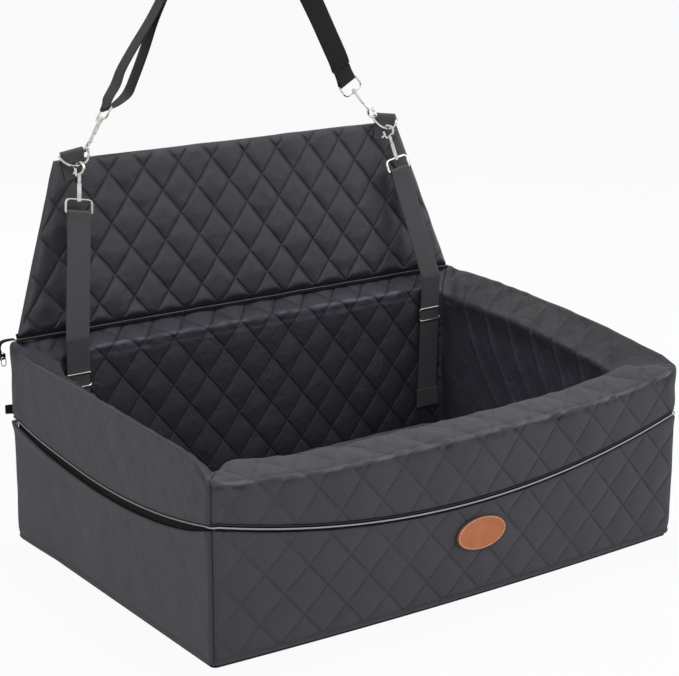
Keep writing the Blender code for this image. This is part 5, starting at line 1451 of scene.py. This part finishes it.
def make_tether(side, sign):
    """Webbing from the eye over the wall's edge and down to its sewn anchor."""
    name = side + "_tether"
    eye = eye_matrix(name, RIGHT)
    bar = eye_bar(eye)
    edge = Vector((sign * TETHER_X, *TETHER_EDGE))
    landing, foot = (Vector((sign * TETHER_X, TETHER_ON_WALL, height)) for height in (0.130, 0.090))
    loop = bar_loop(eye, edge - bar, 0.028)
    turned = smooth_line([loop[-1].lerp(edge, 0.92), edge, edge.lerp(landing, 0.045)], 6)
    landed = smooth_line([edge.lerp(landing, 0.86), landing, landing.lerp(foot, 0.4)], 4)
    points = refine(loop + turned + landed + [foot], 0.008)
    start = eye.to_3x3().col[0].copy()
    widths = [start.lerp(RIGHT, float(smooth((bar.z - point.z) / (bar.z - edge.z)))) for point in points]
    sheet = Sheet()
    ribbon(sheet, points, widths)
    strap = sheet.make(name + "_webbing", FINISHES["webbing"])
    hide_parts(name + "_strap")
    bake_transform(strap)
    run = (edge - landing).normalized()
    across = square_to(RIGHT, run)
    share = (edge.z - TETHER_ADJUSTER_HEIGHT) / (edge.z - landing.z)
    place = frame_matrix(edge.lerp(landing, share), across, run.cross(across), run)
    make_adjuster(name + "_adjuster_adjuster", name + "_adjuster", place, WEBBING_THICKNESS)


def make_anchor(side):
    """A patch of webbing over the tether's foot, with a sewn box and cross."""
    low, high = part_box(side + "_tether_anchor")
    middle, half = (low + high) / 2, (high - low) / 2
    columns, rows = np.meshgrid(np.linspace(-1, 1, 45), np.linspace(-1, 1, 31))
    inside = np.minimum((1 - np.abs(columns)) * half.x, (1 - np.abs(rows)) * half.z)
    height = smooth(inside / 0.0022) ** 0.5
    x, z = middle.x + columns * half.x, middle.z + rows * half.z
    slope = np.minimum(np.abs(columns - rows), np.abs(columns + rows)) * half.x
    sunk = np.maximum(hump(inside - ANCHOR_MARGIN, 0.0008), hump(slope, 0.0009) * (inside > ANCHOR_MARGIN))
    sheet = Sheet()
    sheet.grid(stacked(x, high.y - (high.y - low.y) * height + 0.0005 * sunk, z), stacked(x, z))
    settle(sheet, side + "_anchor_patch", "webbing", "root", "webbing", side + "_tether_anchor")
    corners = ((-1, -1), (1, -1), (1, 1), (-1, 1), (-1, -1), (1, 1))
    reach = half - Vector((ANCHOR_MARGIN, 0, ANCHOR_MARGIN))
    line = [Vector((middle.x + a * reach.x, low.y - 0.0001, middle.z + b * reach.z)) for a, b in corners]
    sheet = Sheet()
    for seam in (line, [line[1], line[3]]):
        dashes(sheet, seam, *ANCHOR_STITCH)
    settle(sheet, side + "_anchor_stitches", "thread", "root", "webbing")


# The badge's rings from its middle out to the wall: shares of its depth and of its half width
BADGE_RINGS = ((0.0, 1.0), (0.35, 1.0), (0.75, 0.99), (1.0, 0.97), (1.06, 0.93), (1.0, 0.90), (1.06, 0.86),
               (1.16, 0.6), (1.22, 0.3), (1.24, 0.02))
BADGE_SEAM = (0.905, 0.895)


def make_badge():
    """A domed oval of leather with a burnt rim and a line of pale stitches."""
    low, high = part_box("badge")
    centre, half, deep = (low + high) / 2, (high - low) / 2, high.y - low.y
    turns = np.linspace(0, math.tau, 97)[:-1]
    rows, stitch = [], []
    for depth, share in BADGE_RINGS:
        row = stacked(centre.x + half.x * share * np.cos(turns), high.y - deep * depth,
                      centre.z + half.z * share * np.sin(turns))
        row[:, 1] += noise(row, 0.015, 51) * 0.00025 * (depth > 0.9)
        rows.append(row)
        stitch.append(stacked(share, turns))
    sheet, rows = Sheet(), np.stack(rows)
    index = sheet.grid(rows, rows[..., [0, 2]], np.stack(stitch), closed=True)
    sheet.caps.append(index[-1, :-1])
    settle(sheet, "badge_leather", "leather", "root", "leather", "badge")
    x, z = half.x * BADGE_SEAM[0], half.z * BADGE_SEAM[1]
    line = [Vector((centre.x + x * math.cos(t), high.y - deep * 1.02, centre.z + z * math.sin(t)))
            for t in np.linspace(0, math.tau, 121)]
    sheet = Sheet()
    dashes(sheet, line, *BADGE_STITCH)
    settle(sheet, "badge_stitches", "pale_thread", "root", "leather")


# Finishes of the CAD nodes that keep their shape, by the last word of their names
NODE_FINISHES = {"sheet": "grip", "board": "board", "foam": "foam", "slider": "dark_metal", "ring": "metal",
                 "hook": "metal", "gate": "metal", "eye": "metal", "puller": "metal"}


def dress_cad_nodes():
    for name, item in frame["nodes"].items():
        finish = NODE_FINISHES.get(name.split("_")[-1])
        if finish:
            for place in item.material_slots:
                place.material = FINISHES[finish]


def main():
    bpy.context.scene.view_settings.view_transform = "Standard"
    make_camera()
    make_headrest_strap()
    make_world()
    make_lamps()
    make_stage()
    walls = {side: Wall(side) for side in SIDES}
    make_upper_cover(walls)
    make_lower_cover(walls)
    make_side_zip(walls)
    make_flap_zip()
    make_flap()
    make_mattress()
    for side, sign in (("left", -1), ("right", 1)):
        make_tab(side, sign)
        make_tether(side, sign)
        make_anchor(side)
    make_badge()
    dress_cad_nodes()


main()
bpy.context.view_layer.update()
